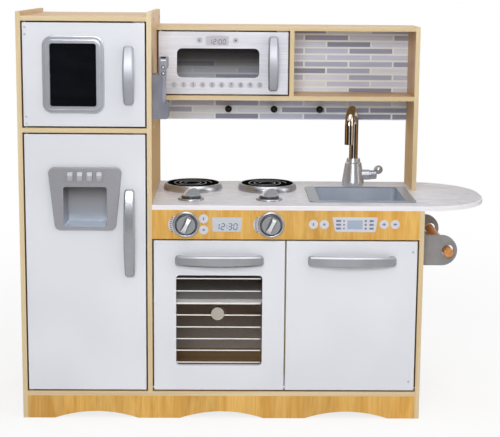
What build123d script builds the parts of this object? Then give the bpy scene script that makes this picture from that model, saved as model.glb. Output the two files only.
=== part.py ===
from build123d import *
from collections import namedtuple
from math import cos, radians, sin
import os

# Toy kitchen in millimetres: X to the right, Y away from the viewer, Z up.
# The origin is on the floor, under the middle of the whole object.

# Carcass boards
board = 12.0
back_board = 6.0
carcass_depth = 390.0
tower_width = 334.0
tower_rise = 40.0  # the tower's sides stand this far above the wall unit's top
tower_top_drop = 10.0  # the tower's sides stand this far above its top panel
cabinet_width = 690.0  # tower's right face to the cabinet's right face
ledge_length = 176.0  # cabinet's right face to the tip of the worktop's ledge
ledge_corner = 172.0
worktop_height = 560.0
worktop_round = 2.5
fascia_height = 75.0
middle_shelf_top = 754.0
divider_setback = 18.0
oven_shelf_top = 309.0
oven_shelf_thickness = 9.0
oven_shelf_setback = 30.0

# Plinth with its row of arches
plinth_height = 60.0
arch_count = 3
arch_pitch = 322.5
arch_width = 216.0
arch_rise = 18.0

# Wall unit above the worktop
wall_unit_depth = 150.0
shelf_gap = 243.0  # worktop's top to the underside of the shelf
microwave_width = 354.0
microwave_height = 174.0
backsplash_drop = 67.0  # the backsplash hangs this far below the shelf
peg_count = 3
peg_pitch = 127.0
peg_first = 191.0  # first peg, from the tower's right face
peg_drop = 36.0
peg_stem_radius = 5.0
peg_head_radius = 9.5
peg_head_thickness = 7.0
peg_length = 26.0

# Doors, their pivot pins and magnet catches
door_gap = 4.0
door_round = 1.2
pin_radius = 2.5
pin_in_door = 14.0
pin_reach = 4.5
pin_fit = 0.05
pin_end_play = 0.5
lug_side_play = 0.5
lug_flange = 2.0
lug_flange_height = 40.0
strike_thickness = 1.0
strike_width = 26.0
strike_height = 14.0
catch_gap = 0.4
catch_depth = 20.0
catch_height = 17.0
catch_width = 28.0
strike_edge = 3.0
strike_drop = 30.0  # middle of the lower doors' plates below the door's top

# Bow handles
handle_projection = 30.0
handle_end = 15.0
handle_width = 28.0
handle_end_width = 24.0
handle_thickness = 10.0
handle_foot = 16.0
handle_finger = 9.0
handle_bevel = 4.0
handle_corner = 7.0
long_handle = 224.0
short_handle = 145.0
handle_inset = 40.0  # middle of an upright handle from the door's free edge
fridge_handle_drop = 249.0
lower_handle_drop = 50.0

# Chalkboard on the freezer door
frame_width = 154.0
frame_height = 193.0
frame_corner = 26.0
frame_step = 9.0
frame_lip = 4.0
frame_bead = 8.0
frame_round = 2.5
slate_width = 115.0
slate_height = 156.0
slate_corner = 6.0
slate_thickness = 2.0
slate_play = 0.3
frame_inset = 48.0

# Water dispenser on the fridge door
dispenser_top_width = 186.0
dispenser_bottom_width = 152.0
dispenser_height = 159.0
dispenser_corner = 15.0
dispenser_drop = 83.0
dispenser_plate = 8.0
dispenser_skin = 3.0
niche_width = 109.0
niche_height = 102.0
niche_corner = 6.0
niche_depth = 75.0
niche_wall = 2.5
niche_draft = 2.0
niche_rise = 8.5  # bottom of the niche above the housing's lower edge
niche_play = 1.0
button_count = 4
button_pitch = 24.3
button_width = 13.0
button_height = 23.0
button_edge = 3.0
button_ridge = 8.0
button_drop = 22.0
button_play = 0.3
button_flange = 2.0
button_flange_thickness = 1.5
button_travel = 2.5

# Windows of the microwave and the oven
window_width = 220.0
microwave_window_height = 78.0
microwave_window_corner = 14.0
microwave_window_inset = 49.0
oven_window_height = 238.0
oven_window_corner = 9.0
oven_window_drop = 90.0
pane_thickness = 2.0
pane_lap = 8.0

# Knobs and their bezels
knob_radius = 25.0
knob_height = 9.0
knob_round = 2.0
grip_length = 42.0
grip_base = 16.0
grip_top = 8.0
grip_height = 18.0
grip_crown = 6.0  # highest point from the dial's middle, towards the pointing end
fascia_grip_turn = -25.0  # clockwise from twelve o'clock
hob_grip_turn = -65.0
bezel_radius = 34.0
bezel_rim = 5.0
bezel_floor = 2.0
bezel_play = 1.0
spindle_radius = 4.0
spindle_fit = 0.05
spindle_tail = 4.0
knob_lift = 0.3
fascia_knobs = (86.0, 301.0)  # from the tower's right face
hob_places = (96.0, 298.0)
hob_knob_depth = 88.0

# Burners
burner_depth = 256.0
burner_radius = 79.5
burner_height = 17.0
burner_lip_radius = 73.0
burner_bowl_radius = 70.5
burner_floor = 8.0
burner_skirt = 4.0
coil_radius = 70.0
coil_thickness = 8.5
coil_round = 2.0
groove_outer = 50.0
groove_pitch = 14.4
groove_half_turns = 5
groove_width = 3.2
groove_depth = 2.2

# Sink
sink_centre = 539.0  # from the tower's right face
sink_depth = 169.0  # middle of the sink from the front
sink_width = 276.0
sink_length = 238.0
sink_rim = 24.0  # at the sides
sink_lip = 11.0  # rim along the front and back
sink_rim_thickness = 3.0
sink_corner = 14.0
sink_bowl = 72.0
sink_wall = 2.5
sink_draft = 4.0
sink_floor = 4.0
sink_play = 1.0
drain_radius = 20.0
drain_depth = 2.0

# Tap
tap_depth = 334.0
tap_foot_radius = 27.5
tap_belly_radius = 30.5
tap_belly_height = 9.0
tap_shoulder_radius = 22.5
tap_shoulder_height = 62.0
tap_collar_radius = 19.5
tap_collar_height = 64.5
tap_neck_radius = 18.0
tap_base_height = 75.0
spout_radius = 12.0
spout_bend = 44.0
spout_top = 213.0  # middle of the bend above the worktop
spout_drop = 45.0
spout_bore = 9.5
spout_mouth = 20.0
spout_seat = 45.0
spout_fit = 0.05
spout_lift = 0.3
spout_turn = 14.0  # turned this far to the left of straight ahead
lever_height = 29.0
lever_boss_radius = 14.5
lever_boss_reach = 45.0
lever_hub_radius = 13.5
lever_hub_end_radius = 12.0
lever_hub_length = 20.0
lever_pin_radius = 5.0
lever_pin_length = 16.0
lever_arm_radius = 5.0
lever_ball_radius = 12.5
lever_ball_out = 5.0
lever_ball_up = 14.0
lever_fit = 0.05
lever_play = 0.3

# Wall phone on the tower's right face
phone_front = 24.0
phone_width = 54.0
phone_drop = 28.0  # holder's bottom below the shelf's underside
phone_height = 111.0
phone_step = 40.0
phone_upper_depth = 26.0
phone_lower_depth = 41.0
phone_corner = 7.0
phone_inner_corner = 4.0
handset_back = 17.3
handset_foot = 15.0  # thickness at the lower end
handset_neck = 17.0  # thickness under the earpiece
handset_head = 22.0  # thickness of the earpiece
handset_head_length = 34.0
handset_width = 42.0
handset_corner = 4.0
handset_round = 3.0
handset_length = 146.0
handset_seat = 11.0
handset_play = 0.3

# Towel holder on the cabinet's right face
bracket_thickness = 12.0
bracket_height = 78.0
bracket_reach = 93.0
bracket_drop = 111.0  # middle of the brackets below the worktop's underside
bracket_front = 44.0
bracket_back = 334.0
bracket_hole_radius = 15.0
bracket_hole_edge = 24.0  # hole's centre from the bracket's round end
dowel_radius = 12.2
dowel_play = 0.3
dowel_overhang = 17.0

# Places that follow from the sizes above
left = -(tower_width + cabinet_width + ledge_length) / 2
right = -left
front = (handle_projection - carcass_depth) / 2
back = front + carcass_depth
inner_back = back - back_board
tower_right = left + tower_width
cabinet_right = tower_right + cabinet_width
cabinet_inner = cabinet_right - board
floor_top = plinth_height + board
worktop_under = worktop_height - board
fascia_under = worktop_under - fascia_height
unit_front = back - wall_unit_depth
shelf_under = worktop_height + shelf_gap
shelf_top = shelf_under + board
unit_under = shelf_top + microwave_height
unit_top = unit_under + board
tower_height = unit_top + tower_rise
tower_top = tower_height - tower_top_drop
unit_divider = tower_right + microwave_width
middle = (tower_right + cabinet_inner) / 2
pivot = board / 2  # pivot pins lie on the middle of a door's thickness
socket_depth = pin_reach + pin_end_play
tap_x = tower_right + sink_centre
lever_z = worktop_height + lever_height

# A door's left, right, lower and upper edges and its front plane
Door = namedtuple("Door", "x0 x1 z0 z1 y")
tower_door_x = (left + board + door_gap, tower_right - board - door_gap)
freezer = Door(*tower_door_x, middle_shelf_top + door_gap, tower_top - board - door_gap, front)
fridge = Door(*tower_door_x, floor_top + door_gap, middle_shelf_top - board - door_gap, front)
microwave = Door(
    tower_right + door_gap, unit_divider - door_gap, shelf_top + door_gap, unit_under - door_gap, unit_front
)
lower_door_z = (floor_top + door_gap, fascia_under - door_gap)
oven = Door(tower_right + door_gap, middle - door_gap / 2, *lower_door_z, front)
dishwasher = Door(middle + door_gap / 2, cabinet_inner - door_gap, *lower_door_z, front)
lower_pivot = (front + pivot, floor_top + door_gap + pivot)


def facing(y):
    """Upright plane that looks at the viewer: drawn in X and Z, extruded towards the viewer."""
    return Plane(origin=(0, y, 0), x_dir=(1, 0, 0), z_dir=(0, -1, 0))


def panel(x0, x1, y0, y1, z0, z1):
    """Square-cut board between two opposite corners."""
    corner = (Align.MIN, Align.MIN, Align.MIN)
    return Pos(x0, y0, z0) * Box(x1 - x0, y1 - y0, z1 - z0, align=corner)


def rod(start, end, radius):
    """Round bar between two points."""
    span = Vector(*end) - Vector(*start)
    return extrude(Plane(origin=start, z_dir=span) * Circle(radius), span.length)


def frontmost(shape):
    """Edges of the face that is nearest to the viewer."""
    return shape.faces().sort_by(Axis.Y)[0].edges()


def group(solids):
    """Several separate solids kept under one name."""
    return Compound(children=list(solids))


# Tower, cabinet and wall unit


def pin_socket(x, y, z, step):
    """Blind hole for an upright pivot pin, from z by the socket's depth up or down."""
    return rod((x, y, z), (x, y, z + step * socket_depth), pin_radius + pin_fit)


def tower_boards():
    x, y = freezer.x0 + pivot, front + pivot
    inner = (left + board, tower_right - board)
    shelf_z = (middle_shelf_top - board, middle_shelf_top)
    top = panel(*inner, front, back, tower_top - board, tower_top)
    shelf = panel(*inner, front, inner_back, *shelf_z)
    right_side = panel(inner[1], tower_right, front, back, floor_top, tower_height)
    pivot_y, pivot_z = lower_pivot
    start, end = (tower_right, pivot_y, pivot_z), (tower_right - socket_depth, pivot_y, pivot_z)
    oven_socket = rod(start, end, pin_radius + pin_fit)
    return {
        "tower_left_side": panel(left, inner[0], front, back, 0, tower_height),
        "tower_right_side": right_side - oven_socket,
        "tower_top_panel": top - pin_socket(x, y, tower_top - board, 1),
        "tower_middle_shelf": shelf - pin_socket(x, y, shelf_z[1], -1) - pin_socket(x, y, shelf_z[0], 1),
        "tower_back_panel": panel(*inner, inner_back, back, floor_top, tower_top - board),
    }


def plinth_board():
    """Front board under the doors, cut by a row of low round arches."""
    x0, x1 = left + board, cabinet_inner
    arch_radius = (arch_width**2 / 4 + arch_rise**2) / (2 * arch_rise)
    face = Pos((x0 + x1) / 2, plinth_height / 2) * Rectangle(x1 - x0, plinth_height)
    for number in range(arch_count):
        x = (x0 + x1) / 2 + (number - (arch_count - 1) / 2) * arch_pitch
        face -= Pos(x, arch_rise - arch_radius) * Circle(arch_radius)
    return extrude(facing(front) * face, -board)


def cabinet_boards():
    x0, x1 = left + board, cabinet_inner
    pivot_y, pivot_z = lower_pivot
    start, end = (x1, pivot_y, pivot_z), (x1 + socket_depth, pivot_y, pivot_z)
    socket = rod(start, end, pin_radius + pin_fit)
    divider_x = (middle - board / 2, middle + board / 2)
    fascia = panel(tower_right, cabinet_inner, front, front + board, fascia_under, worktop_under)
    for place in fascia_knobs:
        hole = (tower_right + place, front, fascia_under + fascia_height / 2)
        fascia -= rod(hole, (hole[0], front + board, hole[2]), spindle_radius + spindle_fit)
    bottom = panel(x0, x1, front, back, plinth_height, floor_top)
    x, y = fridge.x0 + pivot, front + pivot
    return {
        "bottom_board": bottom - pin_socket(x, y, floor_top, -1),
        "plinth": plinth_board(),
        "cabinet_right_side": panel(x1, cabinet_right, front, back, 0, worktop_under) - socket,
        "cabinet_divider": panel(*divider_x, front + divider_setback, inner_back, floor_top, worktop_under),
        "oven_shelf": panel(
            tower_right,
            divider_x[0],
            front + oven_shelf_setback,
            inner_back,
            oven_shelf_top - oven_shelf_thickness,
            oven_shelf_top,
        ),
        "cabinet_back_panel": panel(tower_right, x1, inner_back, back, floor_top, worktop_under),
        "fascia_panel": fascia,
    }


def worktop_board():
    """One board over the cabinet, rounded off into the ledge, with cut-outs for what sits in it."""
    size = (right - tower_right, carcass_depth)
    outline = Pos((tower_right + right) / 2, (front + back) / 2) * Rectangle(*size)
    outline = fillet(outline.vertices().group_by(Axis.X)[-1], ledge_corner)
    top = extrude(Pos(0, 0, worktop_under) * outline, board)
    rim = top.faces().sort_by(Axis.Z)[-1].edges()
    wall_side = rim.sort_by(Axis.X)[0]
    top = fillet([edge for edge in rim if edge != wall_side], worktop_round)
    cut_size = (sink_width - 2 * sink_rim + 2 * sink_play, sink_length - 2 * sink_lip + 2 * sink_play)
    cut = Pos(tap_x, front + sink_depth) * RectangleRounded(*cut_size, sink_corner)
    for place in hob_places:
        cut += Pos(tower_right + place, front + hob_knob_depth) * Circle(spindle_radius + spindle_fit)
    return top - extrude(Pos(0, 0, worktop_under) * cut, board)


def wall_unit_boards():
    x, y = microwave.x0 + pivot, unit_front + pivot
    span = (tower_right, cabinet_right)
    top = panel(*span, unit_front, back, unit_under, unit_top)
    shelf = panel(*span, unit_front, inner_back, shelf_under, shelf_top)
    divider = panel(unit_divider, unit_divider + board, unit_front, inner_back, shelf_top, unit_under)
    side = panel(cabinet_right, cabinet_right + board, unit_front, back, worktop_height, unit_top)
    splash = panel(*span, inner_back, back, shelf_under - backsplash_drop, unit_under)
    return {
        "wall_unit_top": top - pin_socket(x, y, unit_under, 1),
        "wall_unit_shelf": shelf - pin_socket(x, y, shelf_top, -1),
        "wall_unit_divider": divider,
        "wall_unit_right_side": side,
        "backsplash": splash,
    }


def utensil_pegs():
    """Mushroom pegs in a row on the backsplash."""
    profile = make_face(
        Polyline(
            (0, 0),
            (peg_stem_radius, 0),
            (peg_stem_radius, peg_length - peg_head_thickness),
            (peg_head_radius, peg_length - peg_head_thickness),
            (peg_head_radius, peg_length - peg_head_thickness / 2),
            (peg_stem_radius, peg_length),
            (0, peg_length),
            close=True,
        )
    )
    peg = revolve(Plane.XZ * profile, Axis.Z)
    z = shelf_under - peg_drop
    places = [tower_right + peg_first + number * peg_pitch for number in range(peg_count)]
    return group(Plane((x, inner_back, z), x_dir=(1, 0, 0), z_dir=(0, -1, 0)) * peg for x in places)


# Doors


def door_blank(door):
    """Flat inset door with an eased front edge."""
    size = (door.x1 - door.x0, door.z1 - door.z0)
    centre = Pos((door.x0 + door.x1) / 2, (door.z0 + door.z1) / 2)
    blank = extrude(facing(door.y) * (centre * Rectangle(*size)), -board)
    return fillet(frontmost(blank), door_round)


def upright_pins(door):
    """Steel pivot pins at the hinge side, one in the door's top edge and one in its lower edge."""
    x, y = door.x0 + pivot, door.y + pivot
    reach = door_gap + pin_reach
    return [
        rod((x, y, door.z1 - pin_in_door), (x, y, door.z1 + reach), pin_radius),
        rod((x, y, door.z0 + pin_in_door), (x, y, door.z0 - reach), pin_radius),
    ]


def side_pin(edge, outward):
    """Level pivot pin at a drop-down door's outer edge."""
    y, z = lower_pivot
    start = (edge - outward * pin_in_door, y, z)
    return rod(start, (edge + outward * (door_gap + pin_reach), y, z), pin_radius)


def lug_bore(edge, inward):
    """Running hole in a drop-down door for the middle lug's cross pin."""
    y, z = lower_pivot
    return rod((edge, y, z), (edge + inward * (pin_in_door + pin_end_play), y, z), pin_radius + pin_fit)


def hinge_lug():
    """Steel lug on the divider that stands in the gap between the lower doors, with its cross pin."""
    y, z = lower_pivot
    lug_thickness = door_gap - 2 * lug_side_play
    lug_radius = pivot - lug_side_play
    flange_y = front + divider_setback - lug_flange
    web = Pos((y + flange_y) / 2, z) * Rectangle(flange_y - y, 2 * lug_radius)
    web += Pos(y, z) * Circle(lug_radius)
    lug = extrude(Pos(middle, 0, 0) * (Plane.YZ * web), lug_thickness / 2, both=True)
    edges = (middle - board / 2, middle + board / 2)
    lug += panel(*edges, flange_y, flange_y + lug_flange, floor_top, floor_top + lug_flange_height)
    reach = door_gap / 2 + pin_in_door
    return lug + rod((middle - reach, y, z), (middle + reach, y, z), pin_radius)


def strike_plate(x0, x1, z0, z1, y):
    """Thin steel plate on a door's back, which the magnet holds."""
    return panel(x0, x1, y + board, y + board + strike_thickness, z0, z1)


def swing_strike(door):
    x1 = door.x1 - strike_edge
    z1 = door.z1 - strike_edge
    return strike_plate(x1 - strike_width, x1, z1 - strike_height, z1, door.y)


def drop_strike(edge, inward, door):
    x0, x1 = sorted((edge + inward * strike_edge, edge + inward * (strike_edge + strike_height)))
    z = door.z1 - strike_drop
    return strike_plate(x0, x1, z - strike_width / 2, z + strike_width / 2, door.y)


def magnet_catches():
    """Magnet blocks: under the boards for the swing doors, on the divider for the drop-down doors."""
    setback = board + strike_thickness + catch_gap
    blocks = []
    for door in (freezer, fridge, microwave):
        x1 = door.x1 - strike_edge + (catch_width - strike_width) / 2
        y = door.y + setback
        z1 = door.z1 + door_gap
        blocks.append(panel(x1 - catch_width, x1, y, y + catch_depth, z1 - catch_height, z1))
    z = oven.z1 - strike_drop
    y = front + setback
    for side in (-1, 1):
        x0, x1 = sorted((middle + side * board / 2, middle + side * (board / 2 + catch_height)))
        blocks.append(panel(x0, x1, y, y + catch_depth, z - catch_width / 2, z + catch_width / 2))
    return group(blocks)


def bow_handle(length):
    """Bowed bar on two feet, bevelled round its face: it lies along local Y and stands out along local Z."""
    half = length / 2
    foot = half - handle_foot
    inner = handle_projection - handle_thickness
    side = make_face(
        [
            ThreePointArc((-half, handle_end), (0, handle_projection), (half, handle_end)),
            Polyline((half, handle_end), (half, 0), (foot, 0), (foot, handle_finger)),
            ThreePointArc((foot, handle_finger), (0, inner), (-foot, handle_finger)),
            Polyline((-foot, handle_finger), (-foot, 0), (-half, 0), (-half, handle_end)),
        ]
    )
    bar = extrude(Plane.YZ * side, handle_width, both=True)
    narrow, wide = handle_end_width / 2, handle_width / 2
    barrel = make_face(
        [
            ThreePointArc((narrow, -half), (wide, 0), (narrow, half)),
            Line((narrow, half), (-narrow, half)),
            ThreePointArc((-narrow, half), (-wide, 0), (-narrow, -half)),
            Line((-narrow, -half), (narrow, -half)),
        ]
    )
    bar &= extrude(fillet(barrel.vertices(), handle_corner), handle_projection)
    outer = bar.faces().sort_by(Axis.Z)[-1]
    return chamfer(outer.edges(), handle_bevel)


def upright_handle(door, length, z):
    return Plane((door.x1 - handle_inset, door.y, z), x_dir=(1, 0, 0), z_dir=(0, -1, 0)) * bow_handle(length)


def level_handle(door):
    place = ((door.x0 + door.x1) / 2, door.y, door.z1 - lower_handle_drop)
    return Plane(place, x_dir=(0, 0, -1), z_dir=(0, -1, 0)) * bow_handle(long_handle)


def chalkboard_pieces():
    """Slate sheet in a stepped frame with a raised inner bead."""
    centre = Pos(freezer.x0 + frame_inset + frame_width / 2, (freezer.z0 + freezer.z1) / 2)
    plane = facing(front)
    step = 2 * frame_step
    lip = extrude(plane * (centre * RectangleRounded(frame_width, frame_height, frame_corner)), frame_lip)
    lip = fillet(frontmost(lip), frame_round)
    bead_size = (frame_width - step, frame_height - step, frame_corner - frame_step)
    bead = extrude(plane * (centre * RectangleRounded(*bead_size)), frame_bead)
    bead = fillet(frontmost(bead), frame_round)
    opening = centre * RectangleRounded(slate_width, slate_height, slate_corner)
    opening = extrude(plane * opening, frame_bead)
    play = 2 * slate_play
    slate_size = (slate_width - play, slate_height - play, slate_corner - slate_play)
    slate = extrude(plane * (centre * RectangleRounded(*slate_size)), slate_thickness)
    return {"chalkboard_frame": lip + bead - opening, "chalkboard": slate}


def window_sketch(door, x, z, height, corner, lap=0.0):
    size = (window_width + 2 * lap, height + 2 * lap, corner + lap)
    return facing(door.y) * (Pos(x, z) * RectangleRounded(*size))


def glazed_door(door, x, z, height, corner):
    """Door with a window cut-out and the clear pane that laps over it on the back."""
    blank = door_blank(door) - extrude(window_sketch(door, x, z, height, corner), -board)
    pane = extrude(window_sketch(door, x, z, height, corner, pane_lap), -pane_thickness)
    return blank, Pos(0, board, 0) * pane


def freezer_pieces():
    pins = upright_pins(freezer)
    middle_z = (freezer.z0 + freezer.z1) / 2
    pieces = {
        "freezer_door": door_blank(freezer) - pins,
        "freezer_handle": upright_handle(freezer, short_handle, middle_z),
        "freezer_door_hardware": group([*pins, swing_strike(freezer)]),
    }
    return pieces | chalkboard_pieces()


def dispenser_pieces():
    """Moulded housing with a tapered niche, and the buttons that press through its face."""
    x = (fridge.x0 + fridge.x1) / 2
    top = fridge.z1 - dispenser_drop
    bottom = top - dispenser_height
    half_top, half_bottom = dispenser_top_width / 2, dispenser_bottom_width / 2
    corners = [(x - half_top, top), (x + half_top, top), (x + half_bottom, bottom), (x - half_bottom, bottom)]
    outline = make_face(Polyline(*corners, close=True))
    outline = fillet(outline.vertices(), dispenser_corner)
    plane = facing(front)
    plate = extrude(plane * outline, dispenser_plate)
    plate = fillet(frontmost(plate), door_round)
    hollow = offset(outline, -dispenser_skin)
    plate -= extrude(plane * hollow, dispenser_plate - dispenser_skin)
    niche_z = bottom + niche_rise + niche_height / 2
    mouth = Plane((x, front - dispenser_plate, niche_z), x_dir=(1, 0, 0), z_dir=(0, 1, 0))
    wall = 2 * niche_wall
    inner = RectangleRounded(niche_width, niche_height, niche_corner)
    outer = RectangleRounded(niche_width + wall, niche_height + wall, niche_corner + niche_wall)
    tub = extrude(mouth * outer, niche_depth + niche_wall, taper=niche_draft)
    housing = plate + tub - extrude(mouth * inner, niche_depth, taper=niche_draft)
    hole_size = (niche_width + wall + 2 * niche_play, niche_height + wall + 2 * niche_play)
    hole = Pos(x, niche_z) * RectangleRounded(*hole_size, niche_corner + niche_wall)
    hole = extrude(plane * hole, -board)
    pieces = {}
    for number in range(button_count):
        place = x + (number - (button_count - 1) / 2) * button_pitch
        slot_size = (button_width + 2 * button_play, button_height + 2 * button_play)
        slot = Pos(place, top - button_drop) * Rectangle(*slot_size)
        housing -= extrude(plane * slot, dispenser_plate)
        pieces[f"dispenser_button_{number + 1}"] = dispenser_button(place, top - button_drop)
    pieces["dispenser_housing"] = housing
    return pieces, hole


def dispenser_button(x, z):
    """Roof-shaped push button on a flange that keeps it behind the housing's skin."""
    half = button_height / 2
    flange_front = dispenser_plate - dispenser_skin - button_play
    flange_back = flange_front - button_flange_thickness
    edge = dispenser_plate + button_edge
    side = [
        (half + button_flange, flange_back),
        (half + button_flange, flange_front),
        (half, flange_front),
        (half, edge),
        (button_edge, dispenser_plate + button_ridge),
        (-button_edge, dispenser_plate + button_ridge),
        (-half, edge),
        (-half, flange_front),
        (-half - button_flange, flange_front),
        (-half - button_flange, flange_back),
    ]
    roof = extrude(Plane.YZ * make_face(Polyline(*side, close=True)), button_width / 2, both=True)
    return Plane((x, front, z), x_dir=(1, 0, 0), z_dir=(0, -1, 0)) * roof


def fridge_pieces():
    pins = upright_pins(fridge)
    pieces, niche_hole = dispenser_pieces()
    pieces["fridge_door"] = door_blank(fridge) - pins - niche_hole
    pieces["fridge_handle"] = upright_handle(fridge, long_handle, fridge.z1 - fridge_handle_drop)
    pieces["fridge_door_hardware"] = group([*pins, swing_strike(fridge)])
    return pieces


def microwave_pieces():
    pins = upright_pins(microwave)
    x = microwave.x0 + microwave_window_inset + window_width / 2
    z = (microwave.z0 + microwave.z1) / 2
    door, pane = glazed_door(microwave, x, z, microwave_window_height, microwave_window_corner)
    return {
        "microwave_door": door - pins,
        "microwave_window": pane,
        "microwave_handle": upright_handle(microwave, short_handle, z),
        "microwave_door_hardware": group([*pins, swing_strike(microwave)]),
    }


def lower_door_pieces():
    x = (oven.x0 + oven.x1) / 2
    z = oven.z1 - oven_window_drop - oven_window_height / 2
    oven_panel, pane = glazed_door(oven, x, z, oven_window_height, oven_window_corner)
    oven_pin, dishwasher_pin = side_pin(oven.x0, -1), side_pin(dishwasher.x1, 1)
    return {
        "oven_door": oven_panel - oven_pin - lug_bore(oven.x1, -1),
        "oven_window": pane,
        "oven_handle": level_handle(oven),
        "oven_door_hardware": group([oven_pin, drop_strike(oven.x1, -1, oven)]),
        "dishwasher_door": door_blank(dishwasher) - dishwasher_pin - lug_bore(dishwasher.x0, 1),
        "dishwasher_handle": level_handle(dishwasher),
        "dishwasher_door_hardware": group([dishwasher_pin, drop_strike(dishwasher.x0, 1, dishwasher)]),
        "lower_hinge_lug": hinge_lug(),
    }


# Knobs, burners, sink and tap


def knob(turn):
    """Dial with a fin-shaped grip across it and its spindle; local Z points out of the panel."""
    seat = bezel_floor + knob_lift
    top = seat + knob_height
    dial = extrude(Pos(0, 0, seat) * Circle(knob_radius), knob_height)
    dial = fillet(dial.edges().group_by(Axis.Z)[-1], knob_round)
    half = grip_length / 2
    crown = top + grip_height
    fin = make_face(
        [
            TangentArc((grip_crown, crown), (half, top), tangent=(1, 0)),
            Polyline((half, top), (half, seat), (-half, seat), (-half, top)),
            TangentArc((grip_crown, crown), (-half, top), tangent=(-1, 0)),
        ]
    )
    grip = extrude(Plane.YZ * fin, grip_base, both=True)
    base, ridge = grip_base / 2, grip_top / 2
    taper = [(-base, seat), (base, seat), (base, top), (ridge, crown), (-ridge, crown), (-base, top)]
    grip &= extrude(Plane.XZ * make_face(Polyline(*taper, close=True)), grip_length, both=True)
    spindle = rod((0, 0, seat), (0, 0, -board - spindle_tail), spindle_radius)
    return Rot(0, 0, turn) * (dial + grip) + spindle


def knob_bezel():
    """Round dish with a rolled rim, which the dial turns in."""
    hole = spindle_radius + spindle_fit
    well = knob_radius + bezel_play
    profile = make_face(
        [
            Polyline((hole, bezel_floor), (hole, 0), (bezel_radius, 0)),
            ThreePointArc((bezel_radius, 0), ((bezel_radius + well) / 2, bezel_rim), (well, bezel_floor)),
            Line((well, bezel_floor), (hole, bezel_floor)),
        ]
    )
    return revolve(Plane.XZ * profile, Axis.Z)


def knob_seats():
    """Planes on the fascia and the worktop where the knobs stand, by name."""
    fascia_z = fascia_under + fascia_height / 2
    seats = {}
    for name, place in zip(("oven_knob", "timer_knob"), fascia_knobs):
        seats[name] = Plane((tower_right + place, front, fascia_z), x_dir=(1, 0, 0), z_dir=(0, -1, 0))
    for name, place in zip(("left_hob_knob", "right_hob_knob"), hob_places):
        seats[name] = Plane((tower_right + place, front + hob_knob_depth, worktop_height))
    return seats


def knob_pieces():
    seats = knob_seats()
    turns = dict.fromkeys(("left_hob_knob", "right_hob_knob"), hob_grip_turn)
    pieces = {name: seat * knob(turns.get(name, fascia_grip_turn)) for name, seat in seats.items()}
    pieces["knob_bezels"] = group(seat * knob_bezel() for seat in seats.values())
    return pieces


def burner_ring():
    """Round drip bowl with a domed outer wall."""
    profile = make_face(
        [
            Polyline((0, burner_floor), (0, 0), (burner_radius, 0), (burner_radius, burner_skirt)),
            TangentArc((burner_radius, burner_skirt), (burner_lip_radius, burner_height), tangent=(0, 1)),
            Polyline(
                (burner_lip_radius, burner_height),
                (burner_bowl_radius, burner_height),
                (burner_bowl_radius, burner_floor),
                (0, burner_floor),
            ),
        ]
    )
    return revolve(Plane.XZ * profile, Axis.Z)


def spiral_path():
    """Half circles joined end to end, each smaller by half the pitch than the one before."""
    arcs = []
    x, side = groove_outer, 1
    for number in range(groove_half_turns):
        radius = groove_outer - number * groove_pitch / 2
        end = x - side * 2 * radius
        arcs.append(ThreePointArc((x, 0), ((x + end) / 2, side * radius), (end, 0)))
        x, side = end, -side
    return Wire(arcs)


def burner_coil():
    """Moulded hotplate whose top is cut by one unbroken spiral groove."""
    plate = extrude(Circle(coil_radius), coil_thickness)
    plate = fillet(plate.edges().group_by(Axis.Z)[-1], coil_round)
    path = Pos(0, 0, coil_thickness) * spiral_path()
    half = groove_width / 2
    above = groove_depth / 2
    section = Polyline((-half, above), (half, above), (half, 0), (0, -groove_depth), (-half, 0), close=True)
    start = Plane((groove_outer, 0, coil_thickness), x_dir=(-1, 0, 0), z_dir=(0, 1, 0))
    return plate - sweep(start * make_face(section), path)


def burner_pieces():
    print("burner groove: least land between turns", groove_pitch - groove_width, "mm")
    rings, coils = [], []
    for place in hob_places:
        seat = Pos(tower_right + place, front + burner_depth, worktop_height)
        rings.append(seat * burner_ring())
        coils.append(seat * Pos(0, 0, burner_floor) * burner_coil())
    return {"burner_rings": group(rings), "burner_coils": group(coils)}


def sink_basin():
    """Drop-in basin: a flat rim, wide at the sides, over a tapered bowl with a shallow drain."""
    place = Pos(tap_x, front + sink_depth, worktop_height)
    rim = extrude(RectangleRounded(sink_width, sink_length, sink_corner), sink_rim_thickness)
    rim = fillet(rim.edges().group_by(Axis.Z)[-1], sink_rim_thickness / 2)
    width, length = sink_width - 2 * sink_rim, sink_length - 2 * sink_lip
    wall = 2 * sink_wall
    under = Plane((0, 0, 0), x_dir=(1, 0, 0), z_dir=(0, 0, -1))
    mouth = Plane((0, 0, sink_rim_thickness), x_dir=(1, 0, 0), z_dir=(0, 0, -1))
    outer = extrude(under * RectangleRounded(width, length, sink_corner), sink_bowl, taper=sink_draft)
    inner = RectangleRounded(width - wall, length - wall, sink_corner - sink_wall)
    inner = extrude(mouth * inner, sink_bowl + sink_rim_thickness - sink_floor, taper=sink_draft)
    drain = Pos(0, 0, -sink_bowl + sink_floor - drain_depth) * extrude(Circle(drain_radius), drain_depth)
    return place * (rim + outer - inner - drain)


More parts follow.
